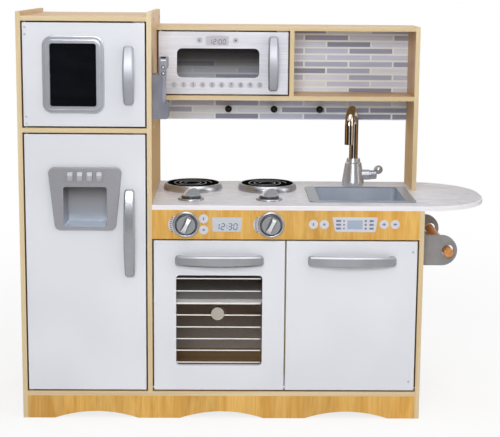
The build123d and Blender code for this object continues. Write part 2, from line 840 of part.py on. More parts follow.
def tap_base():
    """Flared pillar under a stepped collar, with a bore for the spout and a side boss for the lever."""
    belly, shoulder = (tap_belly_radius, tap_belly_height), (tap_shoulder_radius, tap_shoulder_height)
    profile = make_face(
        [
            Polyline((0, tap_base_height), (0, 0), (tap_foot_radius, 0)),
            TangentArc((tap_foot_radius, 0), belly, tangent=(1, 1)),
            Polyline(
                belly,
                shoulder,
                (tap_collar_radius, tap_collar_height),
                (tap_neck_radius, tap_base_height),
                (0, tap_base_height),
            ),
        ]
    )
    pillar = revolve(Plane.XZ * profile, Axis.Z)
    pillar += rod((0, 0, lever_height), (lever_boss_reach, 0, lever_height), lever_boss_radius)
    pillar -= rod(
        (0, 0, tap_base_height), (0, 0, tap_base_height - spout_seat - spout_lift), spout_radius + spout_fit
    )
    pin_end = lever_boss_reach - lever_pin_length - lever_play
    pillar -= rod(
        (lever_boss_reach, 0, lever_height), (pin_end, 0, lever_height), lever_pin_radius + lever_fit
    )
    return Pos(tap_x, front + tap_depth, worktop_height) * pillar


def tap_spout():
    """Swan-neck tube: straight riser, half-round bend and a short drop to an open mouth."""
    start = tap_base_height - spout_seat
    bend = spout_top - spout_bend
    reach = 2 * spout_bend
    path = Wire(
        [
            Line((0, 0, start), (0, 0, bend)),
            ThreePointArc((0, 0, bend), (0, -spout_bend, spout_top), (0, -reach, bend)),
            Line((0, -reach, bend), (0, -reach, bend - spout_drop)),
        ]
    )
    tube = sweep(Pos(0, 0, start) * Circle(spout_radius), path)
    end = bend - spout_drop
    tube -= rod((0, -reach, end), (0, -reach, end + spout_mouth), spout_bore)
    return Pos(tap_x, front + tap_depth, worktop_height) * Rot(0, 0, -spout_turn) * tube


def tap_lever():
    """Tapered hub on a level pin, with a ball on a short arm that rises from its end."""
    start = lever_boss_reach + lever_play
    end = start + lever_hub_length
    slope = [(start, 0), (start, lever_hub_radius), (end, lever_hub_end_radius), (end, 0)]
    hub = revolve(Plane.XZ * make_face(Polyline(*slope, close=True)), Axis.X)
    hub = fillet(hub.edges().filter_by(GeomType.CIRCLE), knob_round)
    pin = rod((start, 0, 0), (start - lever_pin_length, 0, 0), lever_pin_radius)
    ball_place = (end + lever_ball_out, 0, lever_ball_up)
    arm = rod((end - lever_arm_radius - knob_round, 0, 0), ball_place, lever_arm_radius)
    lever = hub + pin + arm + Pos(*ball_place) * Sphere(lever_ball_radius)
    return Pos(tap_x, front + tap_depth, lever_z) * lever


# Wall phone and towel holder


def phone_pieces():
    """Cradle with a stepped side and an open pocket, and the handset that stands in it."""
    bottom = shelf_under - phone_drop
    step, top = bottom + phone_step, bottom + phone_height
    upper = RectangleRounded(2 * phone_upper_depth, phone_height, phone_corner)
    lower = RectangleRounded(2 * phone_lower_depth, phone_step, phone_corner)
    outline = Pos(tower_right, (bottom + top) / 2) * upper + Pos(tower_right, (bottom + step) / 2) * lower
    inner_corner = outline.vertices().sort_by_distance((tower_right + phone_upper_depth, step, 0))[0]
    outline = fillet(inner_corner, phone_inner_corner)
    wall_side = Pos(tower_right - phone_lower_depth, (bottom + top) / 2)
    outline -= wall_side * Rectangle(2 * phone_lower_depth, 2 * phone_height)
    cradle = extrude(facing(front + phone_front) * outline, -phone_width)
    seat = Plane(
        (tower_right + handset_back, front + phone_front + phone_width / 2, bottom + handset_seat),
        x_dir=(1, 0, 0),
        z_dir=(0, -1, 0),
    )
    neck_z = handset_length - handset_head_length
    lip_z = neck_z + handset_head - handset_neck
    profile = [
        (0, 0),
        (handset_foot, 0),
        (handset_neck, neck_z),
        (handset_head, lip_z),
        (handset_head, handset_length),
        (0, handset_length),
    ]
    side = make_face(Polyline(*profile, close=True))
    side = fillet(side.vertices(), handset_corner)
    handset = extrude(seat * side, handset_width / 2, both=True)
    handset = fillet(handset.faces().sort_by(Axis.Y)[0].edges(), handset_round)
    handset = fillet(handset.faces().sort_by(Axis.Y)[-1].edges(), handset_round)
    play = 2 * handset_play
    pocket = Pos(handset_neck / 2, handset_length / 2) * Rectangle(handset_neck + play, handset_length + play)
    pocket = extrude(seat * pocket, handset_width / 2 + handset_play, both=True)
    return {"phone_holder": cradle - pocket, "phone_handset": handset}


def towel_pieces():
    """Two round-ended brackets and the dowel that lies in their oversize holes."""
    z = worktop_under - bracket_drop
    radius = bracket_height / 2
    straight = bracket_reach - radius
    hole_x = cabinet_right + bracket_reach - bracket_hole_edge
    shape = Pos(cabinet_right + straight / 2, z) * Rectangle(straight, bracket_height)
    shape += Pos(cabinet_right + straight, z) * Circle(radius)
    shape -= Pos(hole_x, z) * Circle(bracket_hole_radius)
    brackets = [extrude(facing(front + y) * shape, -bracket_thickness) for y in (bracket_front, bracket_back)]
    dowel_z = z - bracket_hole_radius + dowel_radius + dowel_play
    y0 = front + bracket_front - dowel_overhang
    y1 = front + bracket_back + bracket_thickness + dowel_overhang
    dowel = rod((hole_x, y0, dowel_z), (hole_x, y1, dowel_z), dowel_radius)
    dowel = fillet(dowel.edges(), door_round)
    return {"towel_brackets": group(brackets), "towel_dowel": dowel}


def all_pieces():
    pieces = tower_boards() | cabinet_boards() | wall_unit_boards()
    pieces["worktop"] = worktop_board()
    pieces["utensil_pegs"] = utensil_pegs()
    pieces["magnet_catches"] = magnet_catches()
    pieces["sink_basin"] = sink_basin()
    pieces["tap_base"] = tap_base()
    pieces["tap_spout"] = tap_spout()
    pieces["tap_lever"] = tap_lever()
    pieces |= freezer_pieces() | fridge_pieces() | microwave_pieces() | lower_door_pieces()
    return pieces | knob_pieces() | burner_pieces() | phone_pieces() | towel_pieces()


os.makedirs("parts", exist_ok=True)
for node, shape in all_pieces().items():
    export_step(shape, f"parts/{node}.step")
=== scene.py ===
import bpy
import bmesh
import math
import numpy as np
from functools import partial
from mathutils import Matrix, Vector


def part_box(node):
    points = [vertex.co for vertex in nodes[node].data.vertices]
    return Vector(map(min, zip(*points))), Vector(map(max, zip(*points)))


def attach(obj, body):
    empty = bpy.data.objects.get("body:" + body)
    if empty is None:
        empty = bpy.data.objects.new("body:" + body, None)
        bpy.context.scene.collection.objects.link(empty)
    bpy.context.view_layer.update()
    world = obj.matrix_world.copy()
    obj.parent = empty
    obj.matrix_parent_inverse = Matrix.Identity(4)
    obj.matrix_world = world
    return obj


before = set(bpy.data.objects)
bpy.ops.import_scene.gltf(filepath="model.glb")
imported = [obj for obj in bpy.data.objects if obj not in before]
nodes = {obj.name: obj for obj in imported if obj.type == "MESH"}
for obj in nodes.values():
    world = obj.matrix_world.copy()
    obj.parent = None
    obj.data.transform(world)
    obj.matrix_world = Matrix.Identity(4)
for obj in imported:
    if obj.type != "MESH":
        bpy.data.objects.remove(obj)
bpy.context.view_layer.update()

scene = bpy.context.scene
mm = 0.001
print("frame loaded:", len(nodes), "nodes")


# sRGB hex to linear colour: straight below 0.04045, a 2.4 power above it
def linear(code):
    levels = [int(code[at:at + 2], 16) / 255 for at in (1, 3, 5)]
    return [v / 12.92 if v <= 0.04045 else ((v + 0.055) / 1.055) ** 2.4 for v in levels] + [1.0]


# adds a node with its settings and inputs: a node or socket becomes a link and a hex value a colour, stops
# fill a ramp, and size is a pattern's patch in millimetres, alike every way or one for each axis
def addNode(tree, kind, inputs=(), stops=(), size=None, **settings):
    made = tree.nodes.new("ShaderNode" + kind)
    for name, value in settings.items():
        setattr(made, name, value)
    for at, (place, code) in enumerate(stops):
        element = made.color_ramp.elements[at] if at < 2 else made.color_ramp.elements.new(place)
        element.position, element.color = place, linear(code)
    inputs = dict(inputs)
    if isinstance(size, float):
        inputs["Scale"] = 1 / (size * mm)
    elif size:
        scale = [1 / (length * mm) for length in size]
        inputs["Vector"] = addNode(tree, "Mapping", {"Vector": inputs["Vector"], "Scale": scale})
        inputs["Scale"] = 1.0
    for key, value in inputs.items():
        if isinstance(value, bpy.types.Node):
            value = next(socket for socket in value.outputs if socket.enabled)
        if isinstance(value, bpy.types.NodeSocket):
            tree.links.new(value, made.inputs[key])
        else:
            made.inputs[key].default_value = linear(value) if isinstance(value, str) else value
    return made


# an empty material, addNode for its tree, and its Object coordinates, in metres on every piece
def startMaterial(name):
    material = bpy.data.materials.new(name)
    material.use_nodes = True
    material.node_tree.nodes.clear()
    add = partial(addNode, material.node_tree)
    return material, add, add("TexCoord").outputs["Object"]


# shader sockets with one value all over, by their names in a look, where two tones lie, and a colour mix
plainSockets = {"metal": "Metallic", "shine": "Specular IOR Level", "ior": "IOR"}
evenSpread = (0.35, 0.65)
rgba = {"data_type": "RGBA"}


# closes a material: a pair in rough follows the tooth, or the sheen where one is given, over its range, and
# lift, as strength and depth in millimetres, follows the tooth
def closeMaterial(material, look, colour, tooth, sheen=None, **other):
    add = partial(addNode, material.node_tree)
    surface = {"Base Color": colour, "Roughness": look["rough"], **other}
    if isinstance(look["rough"], tuple):
        (start, end), (smooth, dull) = look.get("sheenRange", (0.0, 1.0)), look["rough"]
        surface["Roughness"] = add("MapRange", {0: sheen or tooth, 1: start, 2: end, 3: smooth, 4: dull})
    if "lift" in look:
        strength, depth = look["lift"]
        surface["Normal"] = add("Bump", {"Height": tooth, "Strength": strength, "Distance": depth * mm})
    surface.update({socket: look[key] for key, socket in plainSockets.items() if key in look})
    shader = add("BsdfPrincipled", surface)
    add("OutputMaterial", {"Surface": shader})
    return material


# a plain skin: a cloud drifts between two tones, and a finer tooth, or else the cloud, breaks up the shine
def makeSkin(name, look):
    material, add, place = startMaterial(name)
    cloud = add("TexNoise", {"Vector": place, **look.get("noise", {})}, size=look["cloud"])
    tooth = add("TexNoise", {"Vector": place}, size=look["tooth"]) if "tooth" in look else cloud
    colour = add("ValToRGB", {0: cloud}, stops=zip(look.get("spread", evenSpread), look["tones"]))
    return closeMaterial(material, look, colour, tooth, cloud if look.get("cloudySheen") else tooth)


# lays flecks of another colour where a noise runs high
def flecked(add, colour, noise, look):
    start, end = look["fleckRange"]
    share = add("MapRange", {0: noise, 1: start, 2: end, 3: 0.0, 4: look["fleckMix"]})
    return add("Mix", {0: share, 6: colour, 7: look["fleck"]}, **rgba)


# maple foil pressed on particle board: a printed satin skin, so the figure is long and soft and nothing has
# depth; the paler front and back edges are partly the foil's edge band and partly painted light, the deeper
# faces painted shade
mapleFoil = {
    "tones": ("#D3AF79", "#C4995F"), "edgeBandAndLitTones": ("#DBC8A3", "#CEB78D"), "spread": (0.36, 0.64),
    "fleck": "#AC7D48", "band": (26.0, 900.0), "pores": (2.4, 90.0), "fleckRange": (0.5, 0.72),
    "fleckMix": 0.32, "rough": (0.32, 0.42), "shine": 0.4, "lift": (0.12, 0.3),
}
# the warmer foil of the fascia and the plinth: upright staves that differ in tone, each finely lined
honeyFoil = {
    "tones": ("#E0B25E", "#CE983C"), "spread": (0.36, 0.64), "fleck": "#B67C2A", "stave": 78.0,
    "staveTone": (0.87, 1.06), "sway": 200.0, "swayShare": 0.06, "band": (24.0, 190.0),
    "pores": (2.6, 110.0), "fleckRange": (0.5, 0.72), "fleckMix": 0.46, "rough": (0.3, 0.42),
    "lift": (0.12, 0.3),
}


def makeFoil(name, look, grain):
    material, add, place = startMaterial(name)
    noise = {}
    for part, detail, twist in (("band", 3.0, 0.8), ("pores", 4.0, 0.0)):
        short, long = look[part]
        settings = {"Vector": place, "Detail": detail, "Roughness": 0.56, "Distortion": twist}
        noise[part] = add("TexNoise", settings, size=[long if axis == grain else short for axis in "xyz"])
    band, pores = noise["band"], noise["pores"]
    figure = add("ValToRGB", {0: band}, stops=zip(look["spread"], look["tones"]))
    colour = flecked(add, figure, pores, look)
    # faces that look along Y take the paler tones, partly edge band and partly painted light; the rest keep
    # the deeper tones as painted shade
    if "edgeBandAndLitTones" in look:
        facing = add("SeparateXYZ", {0: place.node.outputs["Normal"]}).outputs[1]
        isEdge = add("Math", {0: facing}, operation="ABSOLUTE")
        edge = add("ValToRGB", {0: band}, stops=zip(look["spread"], look["edgeBandAndLitTones"]))
        colour = add("Mix", {0: isEdge, 6: colour, 7: edge}, **rgba)
    if "stave" in look:
        across = add("SeparateXYZ", {0: place}).outputs[0]
        sway = add("TexNoise", {"W": across, "Detail": 0.0}, size=look["sway"], noise_dimensions="1D")
        drift = add("Math", {0: sway, 1: look["swayShare"], 2: across}, operation="MULTIPLY_ADD")
        stave = add("Math", {0: drift, 1: look["stave"] * mm}, operation="SNAP")
        chance = add("TexWhiteNoise", {"W": stave}, noise_dimensions="1D")
        low, high = look["staveTone"]
        tone = add("MapRange", {0: chance, 3: low, 4: high})
        colour = add("Mix", {0: 1.0, 6: colour, 7: tone}, **rgba, blend_type="MULTIPLY")
    return closeMaterial(material, look, colour, pores)


mapleUpright = makeFoil("maple foil, upright grain", mapleFoil, "z")
mapleLevel = makeFoil("maple foil, level grain", mapleFoil, "x")
honeyUpright = makeFoil("honey maple foil, upright grain", honeyFoil, "z")

# cool white lacquer sprayed on fibre board: even and faintly clouded, its shine broken by orange peel
whiteDoor = makeSkin("white lacquer on fibre board", {
    "tones": ("#DFE1E6", "#D7D9DF"), "cloud": 260.0, "noise": {"Detail": 1.0}, "tooth": 6.0,
    "rough": (0.3, 0.38), "lift": (0.06, 0.2),
})

# worktop laminate with a white post-formed edge: cloudy and speckled on the flat, plain where it turns down
laminate = {
    "tones": ("#DBDADF", "#C5C5CB"), "spread": (0.36, 0.66), "cloud": (42.0, 20.0, 42.0), "fleck": "#ABABB2",
    "grit": 2.6, "fleckRange": (0.62, 0.74), "fleckMix": 0.5, "edge": "#E6E4E8", "topFacing": (0.75, 0.98),
    "rough": (0.34, 0.46), "lift": (0.05, 0.2),
}


def makeLaminate(name, look):
    material, add, place = startMaterial(name)
    settings = {"Vector": place, "Detail": 5.0, "Roughness": 0.62, "Distortion": 0.6}
    cloud = add("TexNoise", settings, size=look["cloud"])
    grit = add("TexNoise", {"Vector": place}, size=look["grit"])
    flat = add("ValToRGB", {0: cloud}, stops=zip(look["spread"], look["tones"]))
    flat = flecked(add, flat, grit, look)
    facing = add("SeparateXYZ", {0: place.node.outputs["Normal"]}).outputs[2]
    start, end = look["topFacing"]
    isTop = add("MapRange", {0: facing, 1: start, 2: end})
    colour = add("Mix", {0: isTop, 6: look["edge"], 7: flat}, **rgba)
    return closeMaterial(material, look, colour, grit)


worktopLaminate = makeLaminate("speckled worktop laminate", laminate)

# thin hardboard with a pale printed face: matt, with short pressed fibres
paleHardboard = makeSkin("pale faced hardboard", {
    "tones": ("#DEDCDB", "#CFCCCB"), "spread": (0.35, 0.7), "cloud": 7.0, "rough": 0.62, "lift": (0.08, 0.3),
    "noise": {"Detail": 6.0, "Roughness": 0.7, "Distortion": 1.2},
})

# tile-strip print on hardboard: cool grey strips in half-lapped rows, near-white joints and a bare back
tileStrip = {
    "row": 18.33, "length": 124.0, "joint": 5.6, "startX": 196.6, "startZ": 735.8, "jointColour": "#F3FAFF",
    "greys": [(0.0, "#8A90A8"), (0.22, "#A8AFCA"), (0.5, "#CED7F0"), (0.8, "#E3ECFF"), (0.95, "#EAF4FF")],
    "back": "#D6D4D3", "grain": (70.0, 70.0, 3.0), "grainRange": (0.3, 0.7), "mottle": (0.93, 1.05),
    "rough": 0.42,
}


def makeTilePrint(name, look):
    material, add, place = startMaterial(name)
    axes = add("SeparateXYZ", {0: place}).outputs
    flat = add("CombineXYZ", {0: axes[0], 1: axes[2]})
    unit = 2 * look["row"] * mm  # two rows to one unit of the pattern
    spot = add("Mapping", {
        "Vector": flat, "Scale": [1 / unit] * 3,
        "Location": [-look["startX"] * mm / unit, -look["startZ"] * mm / unit, 0.0],
    })
    black, white = [0, 0, 0, 1], [1, 1, 1, 1]
    strips = add("TexBrick", {
        "Vector": spot, "Color1": black, "Color2": white, "Mortar": black, "Scale": 1.0, "Bias": 0.0,
        "Mortar Size": look["joint"] / 2 * mm / unit, "Mortar Smooth": 0.12,
        "Brick Width": look["length"] * mm / unit, "Row Height": 0.5,
    }, offset=0.5, offset_frequency=2)
    tone = add("ValToRGB", {0: strips}, stops=look["greys"])
    grain = add("TexNoise", {"Vector": place, "Detail": 3.0}, size=look["grain"])
    (start, end), (low, high) = look["grainRange"], look["mottle"]
    mottle = add("MapRange", {0: grain, 1: start, 2: end, 3: low, 4: high})
    product = {**rgba, "blend_type": "MULTIPLY"}
    tone = add("Mix", {0: 1.0, 6: tone, 7: mottle}, **product)
    bareBack = add("Mix", {0: 1.0, 6: look["back"], 7: mottle}, **product)
    front = add("Mix", {0: strips.outputs[1], 6: tone, 7: look["jointColour"]}, **rgba)
    facing = add("SeparateXYZ", {0: place.node.outputs["Normal"]}).outputs[1]
    behind = add("Math", {0: facing, 1: 0.5}, operation="GREATER_THAN")
    colour = add("Mix", {0: behind, 6: front, 7: bareBack}, **rgba)
    return closeMaterial(material, look, colour, grain)


tilePrint = makeTilePrint("tile strip print on hardboard", tileStrip)

# what both paints share: tone and shine drift together over a fine stipple
paint = {
    "spread": (0.35, 0.68), "noise": {"Detail": 3.0, "Distortion": 0.4}, "cloudySheen": True,
    "lift": (0.12, 0.2),
}
# grey paint rolled on wood: flat, with a little stipple
bracketPaint = makeSkin("grey painted wood", {
    **paint, "tones": ("#838283", "#908F90"), "cloud": (40.0, 40.0, 40.0), "tooth": 3.0,
    "rough": (0.45, 0.57), "shine": 0.4,
})
# black slate paint: dead matt, with the level smears that a wiped chalkboard keeps
chalkPaint = makeSkin("black slate paint", {
    **paint, "tones": ("#0A0B0F", "#111217"), "cloud": (90.0, 90.0, 30.0), "tooth": 2.2,
    "rough": (0.69, 0.81), "shine": 0.03,
})

# bare beech dowel: warm, with the short dark flecks of turned beech along its length
beech = {
    "tones": ("#CE9256", "#B6773C"), "fleck": "#8A5526", "rings": (5.0, 240.0, 5.0),
    "flecks": (1.2, 9.0, 1.2), "fleckRange": (0.6, 0.72), "fleckMix": 0.6, "rough": 0.55,
    "lift": (0.15, 0.2),
}


def makeBeech(name, look):
    material, add, place = startMaterial(name)
    settings = {"Vector": place, "Distortion": 0.3}
    rings, flecks = [add("TexNoise", settings, size=look[part]) for part in ("rings", "flecks")]
    figure = add("ValToRGB", {0: rings}, stops=zip(evenSpread, look["tones"]))
    return closeMaterial(material, look, flecked(add, figure, flecks, look), flecks)


beechWood = makeBeech("bare beech", beech)

# silver lacquer sprayed on moulded ABS: metal flake under a satin coat, so tone rolls softly round each
# form; real flake is finer than a tenth of a millimetre and is drawn at about one to show
flakeSpread, flakeNoise = (0.36, 0.62), {"Roughness": 0.7}
spray = {"cloud": 60.0, "lift": (0.05, 0.1)}


# the coat's colour and its flake; where the look has a cloud, tone follows the mean of the two
def silverCoat(add, place, look):
    flake = level = add("TexNoise", {"Vector": place, **look.get("noise", flakeNoise)}, size=look["flake"])
    if "cloud" in look:
        cloud = add("TexNoise", {"Vector": place, **look.get("noise", {})}, size=look["cloud"])
        both = add("Math", {0: flake, 1: cloud}, operation="ADD")
        level = add("Math", {0: both, 1: 0.5}, operation="MULTIPLY")
    return add("ValToRGB", {0: level}, stops=zip(look.get("spread", flakeSpread), look["tones"])), flake


def makeSilver(name, look):
    material, add, place = startMaterial(name)
    colour, flake = silverCoat(add, place, look)
    if "rim" in look:
        height = add("SeparateXYZ", {0: place}).outputs[2]
        low, high = look["rimLevels"]
        onRim = add("MapRange", {0: height, 1: low * mm, 2: high * mm})
        colour = add("Mix", {0: onRim, 6: colour, 7: look["rim"]}, **rgba)
    return closeMaterial(material, look, colour, flake)


silverPlastic = makeSilver("silver lacquer on ABS", {
    **spray, "tones": ("#94969B", "#A5A7AB"), "metal": 0.75, "rough": (0.2, 0.29), "flake": 1.2,
})
# a duller coat on the dispenser's buttons
buttonPlastic = makeSilver("dull silver lacquer on ABS", {
    **spray, "tones": ("#A1A3A8", "#B3B5BA"), "metal": 0.5, "rough": (0.4, 0.49), "flake": 1.0,
})
# a cooler coat in the sink, darker on the flat rim above the worktop
sinkPlastic = makeSilver("blue grey lacquer on ABS", {
    **spray, "tones": ("#9FA7B5", "#AEB6C3"), "metal": 0.35, "rough": (0.28, 0.37), "flake": 1.4,
    "rim": "#878C95", "rimLevels": (560.1, 560.9),
})
# a bright satin coat on the tap's base and lever and the handset's keys
brightPlastic = makeSilver("bright silver lacquer on ABS", {
    **spray, "tones": ("#BFC1C8", "#D2D4DA"), "metal": 0.75, "rough": (0.28, 0.37), "flake": 1.0,
})
# a deeper coat on the burner rings and the knob bezels, so that they stand off the pale worktop
ringPlastic = makeSilver("deep silver lacquer on ABS", {
    **spray, "tones": ("#9E9FA4", "#B0B1B5"), "metal": 0.8, "rough": (0.24, 0.33), "flake": 1.0,
})
# a softer bright coat on the two upper handles
upperPlastic = makeSilver("soft bright lacquer on ABS", {
    **spray, "tones": ("#989AA2", "#ABADB4"), "metal": 0.65, "rough": (0.38, 0.47), "flake": 1.0,
})
# a paler coat on the chalkboard's frame
framePlastic = makeSilver("pale silver lacquer on ABS", {
    **spray, "tones": ("#BCBFC7", "#CBCED5"), "metal": 0.55, "rough": (0.16, 0.25), "flake": 1.2,
})

# pale silver foil on the microwave door: drawn level, so light streaks run across it
silverDoor = makeSilver("drawn silver foil on fibre board", {
    "tones": ("#C4C5CE", "#D9DAE1"), "spread": (0.38, 0.6), "flake": (140.0, 140.0, 1.8),
    "cloud": (150.0, 150.0, 60.0), "noise": {"Detail": 3.0, "Roughness": 0.6}, "rough": (0.3, 0.44),
    "metal": 0.15, "lift": (0.1, 0.1),
})

# the dispenser's moulding: a duller silver, and a recess painted darker at its roof and paler and cooler at
# its floor, as painted shade and light
dispenserSpray = {
    "tones": ("#939399", "#A3A3A8"), "metal": 0.4, "rough": (0.3, 0.39), "flake": 1.2, "lift": (0.05, 0.1),
    "mouth": (1.5, 3.5), "rise": (9.0, 110.0),
    "niche": [(0.0, "#C6CFDB"), (0.22, "#AFB4BD"), (0.6, "#9A999D"), (1.0, "#68676A")],
}


def makeDispenser(name, look, corner):
    material, add, place = startMaterial(name)
    plate, flake = silverCoat(add, place, look)
    axes = add("SeparateXYZ", {0: place}).outputs
    shallow, deep = (corner.y + depth * mm for depth in look["mouth"])
    low, high = (corner.z + rise * mm for rise in look["rise"])
    within = add("MapRange", {0: axes[1], 1: shallow, 2: deep})
    height = add("MapRange", {0: axes[2], 1: low, 2: high})
    # painted shade and light: the recess darkens towards its roof and pales and cools towards its floor
    niche = add("ValToRGB", {0: height}, stops=look["niche"])
    colour = add("Mix", {0: within, 6: plate, 7: niche}, **rgba)
    return closeMaterial(material, look, colour, flake)


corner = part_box("dispenser_housing")[0]
dispenserPlastic = makeDispenser("silver lacquer on ABS with painted recess shade", dispenserSpray, corner)

# knobs in silver lacquer on ABS: a darker dial whose black rim is painted shade of the gap round it, and a
# grip whose outward faces are pale, partly paint and partly painted highlight; a pair turns about axis,
# levels are its dials' and a line's just beyond, and middles its centres
fasciaLook = {
    "tones": ("#898B8F", "#9C9EA2"), "edge": "#1F2023", "ridge": "#DCDDE0", "metal": 0.6,
    "rough": (0.26, 0.35), "flake": 1.0, "gapShadeBand": (23.2, 23.8), "ridgeFacing": 0.45, "axis": 1,
    "levels": (-191.3, -192.3), "middles": [(-180.0, 0.0, 510.5), (35.0, 0.0, 510.5)],
}
# the worktop's pair is lighter, with softer painted shade at the dial's edge
hobLook = {
    "tones": ("#A2A4A8", "#B4B6BA"), "edge": "#4E4F52", "ridge": "#F4F5F7", "metal": 0.52,
    "rough": (0.22, 0.31), "flake": 1.0, "gapShadeBand": (23.2, 23.8), "ridgeFacing": 0.3, "axis": 2,
    "levels": (571.3, 572.3), "middles": [(-170.0, -92.0, 0.0), (32.0, -92.0, 0.0)],
}


def makeKnob(name, look):
    material, add, place = startMaterial(name)
    dial, flake = silverCoat(add, place, look)
    axis = look["axis"]
    plane = [float(at != axis) for at in range(3)]
    flat = add("VectorMath", {0: place, 1: plane}, operation="MULTIPLY")
    middles = [[value * mm for value in middle] for middle in look["middles"]]
    away = [add("VectorMath", {0: flat, 1: middle}, operation="DISTANCE") for middle in middles]
    near = add("Math", {0: away[0], 1: away[1]}, operation="MINIMUM")
    # a dark band round the dial's rim: painted shade of the gap between dial and bezel
    start, end = look["gapShadeBand"]
    edge = add("MapRange", {0: near, 1: start * mm, 2: end * mm})
    colour = add("Mix", {0: edge, 6: dial, 7: look["edge"]}, **rgba)
    # faces of the grip that stand proud of the dial and look outward turn pale, partly paint and partly
    # painted highlight
    level = add("SeparateXYZ", {0: place}).outputs[axis]
    start, end = look["levels"]
    proud = add("MapRange", {0: level, 1: start * mm, 2: end * mm})
    facing = add("SeparateXYZ", {0: place.node.outputs["Normal"]}).outputs[axis]
    facing = add("Math", {0: facing}, operation="ABSOLUTE")
    outward = add("Math", {0: facing, 1: look["ridgeFacing"]}, operation="GREATER_THAN")
    ridge = add("Math", {0: proud, 1: outward}, operation="MULTIPLY")
    colour = add("Mix", {0: ridge, 6: colour, 7: look["ridge"]}, **rgba)
    return closeMaterial(material, look, colour, flake)


fasciaKnob = makeKnob("two tone lacquer on ABS, fascia", fasciaLook)
hobKnob = makeKnob("two tone lacquer on ABS, worktop", hobLook)

# what both platings share: one swirl moves tone and shine
plated = {"noise": {"Detail": 3.0, "Distortion": 0.6}, "sheenRange": (0.3, 0.7), "metal": 1.0}
# chromium plated ABS: a hard mirror, tinted a little warm as painted reflection of warm surroundings, with a
# trace of polishing swirl
chrome = makeSkin("chromium plated ABS", {
    **plated, "tones": ("#C6BBAE", "#B4A99C"), "cloud": 14.0, "rough": (0.04, 0.1),
})
# zinc plated steel of the pins and plates: dull mirror with a frosty bloom
steel = makeSkin("zinc plated steel", {
    **plated, "tones": ("#C2C4C6", "#A3A5A8"), "cloud": 4.0, "rough": (0.3, 0.44),
})

# moulded ABS in plain colours: a fine spark texture from the mould breaks up the shine
moulded = {"cloud": 45.0, "noise": {"Detail": 1.0}, "lift": (0.08, 0.1)}
phonePlastic = makeSkin("grey moulded ABS", {
    **moulded, "tones": ("#797B88", "#6C6E7A"), "tooth": 1.2, "rough": (0.35, 0.46),
})
handsetPlastic = makeSkin("pale grey moulded ABS", {
    **moulded, "tones": ("#9799A5", "#878994"), "tooth": 1.2, "rough": (0.25, 0.36),
})
pegPlastic = makeSkin("black moulded ABS", {
    **moulded, "tones": ("#0E0E0E", "#070707"), "tooth": 1.5, "rough": (0.25, 0.36), "shine": 0.25,
})
catchPlastic = makeSkin("white moulded ABS", {
    **moulded, "tones": ("#E9E8E6", "#DEDDDA"), "tooth": 1.5, "rough": (0.4, 0.51),
})

# black hotplate: matt moulded ABS with grey lines along its spiral groove, partly grey paint and partly
# painted highlight of the groove's lips
hotplate = {
    "tones": ("#101011", "#090909"), "groove": "#A3A4A8", "rough": (0.5, 0.62), "shine": 0.0, "cloud": 20.0,
    "firstX": -170.0, "apart": 202.0, "y": 76.0, "outer": 50.0, "pitch": 14.4, "half": 1.6,
    "inside": (16.5, 53.5),
}


def makeHotplate(name, look):
    material, add, place = startMaterial(name)
    cloud = add("TexNoise", {"Vector": place, "Detail": 3.0}, size=look["cloud"])
    black = add("ValToRGB", {0: cloud}, stops=zip(evenSpread, look["tones"]))
    # the groove is half circles: behind the middle round it, before it round a point half a pitch to the left
    axes = add("SeparateXYZ", {0: place}).outputs
    half = look["pitch"] / 2 * mm
    between = (look["firstX"] + look["apart"] / 2) * mm
    second = add("Math", {0: axes[0], 1: between}, operation="GREATER_THAN")
    back = add("Math", {0: second, 1: -look["apart"] * mm, 2: axes[0]}, operation="MULTIPLY_ADD")
    x = add("Math", {0: back, 1: look["firstX"] * mm}, operation="SUBTRACT")
    y = add("Math", {0: axes[1], 1: look["y"] * mm}, operation="SUBTRACT")
    before = add("Math", {0: y, 1: 0.0}, operation="LESS_THAN")
    moved = add("Math", {0: before, 1: half, 2: x}, operation="MULTIPLY_ADD")
    spot = add("CombineXYZ", {0: moved, 1: y})
    reach = add("VectorMath", {0: spot}, operation="LENGTH")
    turns = add("Math", {0: before, 1: half, 2: reach}, operation="MULTIPLY_ADD")
    turns = add("Math", {0: turns, 1: look["outer"] * mm}, operation="SUBTRACT")
    off = add("Math", {0: turns, 1: half, 2: -half}, operation="WRAP")
    off = add("Math", {0: off}, operation="ABSOLUTE")
    # the grey line is partly paint and partly painted highlight of the groove's lips
    paintAndHighlightLine = add("Math", {0: off, 1: look["half"] * mm}, operation="LESS_THAN")
    for limit, test in zip(look["inside"], ("GREATER_THAN", "LESS_THAN")):
        inside = add("Math", {0: reach, 1: limit * mm}, operation=test)
        paintAndHighlightLine = add("Math", {0: paintAndHighlightLine, 1: inside}, operation="MULTIPLY")
    colour = add("Mix", {0: paintAndHighlightLine, 6: black, 7: look["groove"]}, **rgba)
    return closeMaterial(material, look, colour, cloud)


hotplateBlack = makeHotplate("black hotplate ABS", hotplate)

# tinted acrylic of the microwave: a smooth sheet that dims what lies behind it, made more opaque towards its
# top as painted shade
tintedSheet = {
    "tones": ("#0D0D14", "#09090F"), "haze": 60.0, "rough": (0.04, 0.09), "shine": 0.1, "ior": 1.49,
    "levels": (886.0, 948.0), "clear": (0.995, 0.25),
}
# nearly clear acrylic of the oven: its warm box shows between the printed rungs
clearSheet = {
    "tones": ("#1E1815", "#171210"), "haze": 60.0, "rough": (0.04, 0.09), "shine": 0.3, "ior": 1.49,
    "levels": (140.0, 380.0), "clear": (0.93, 0.9),
}


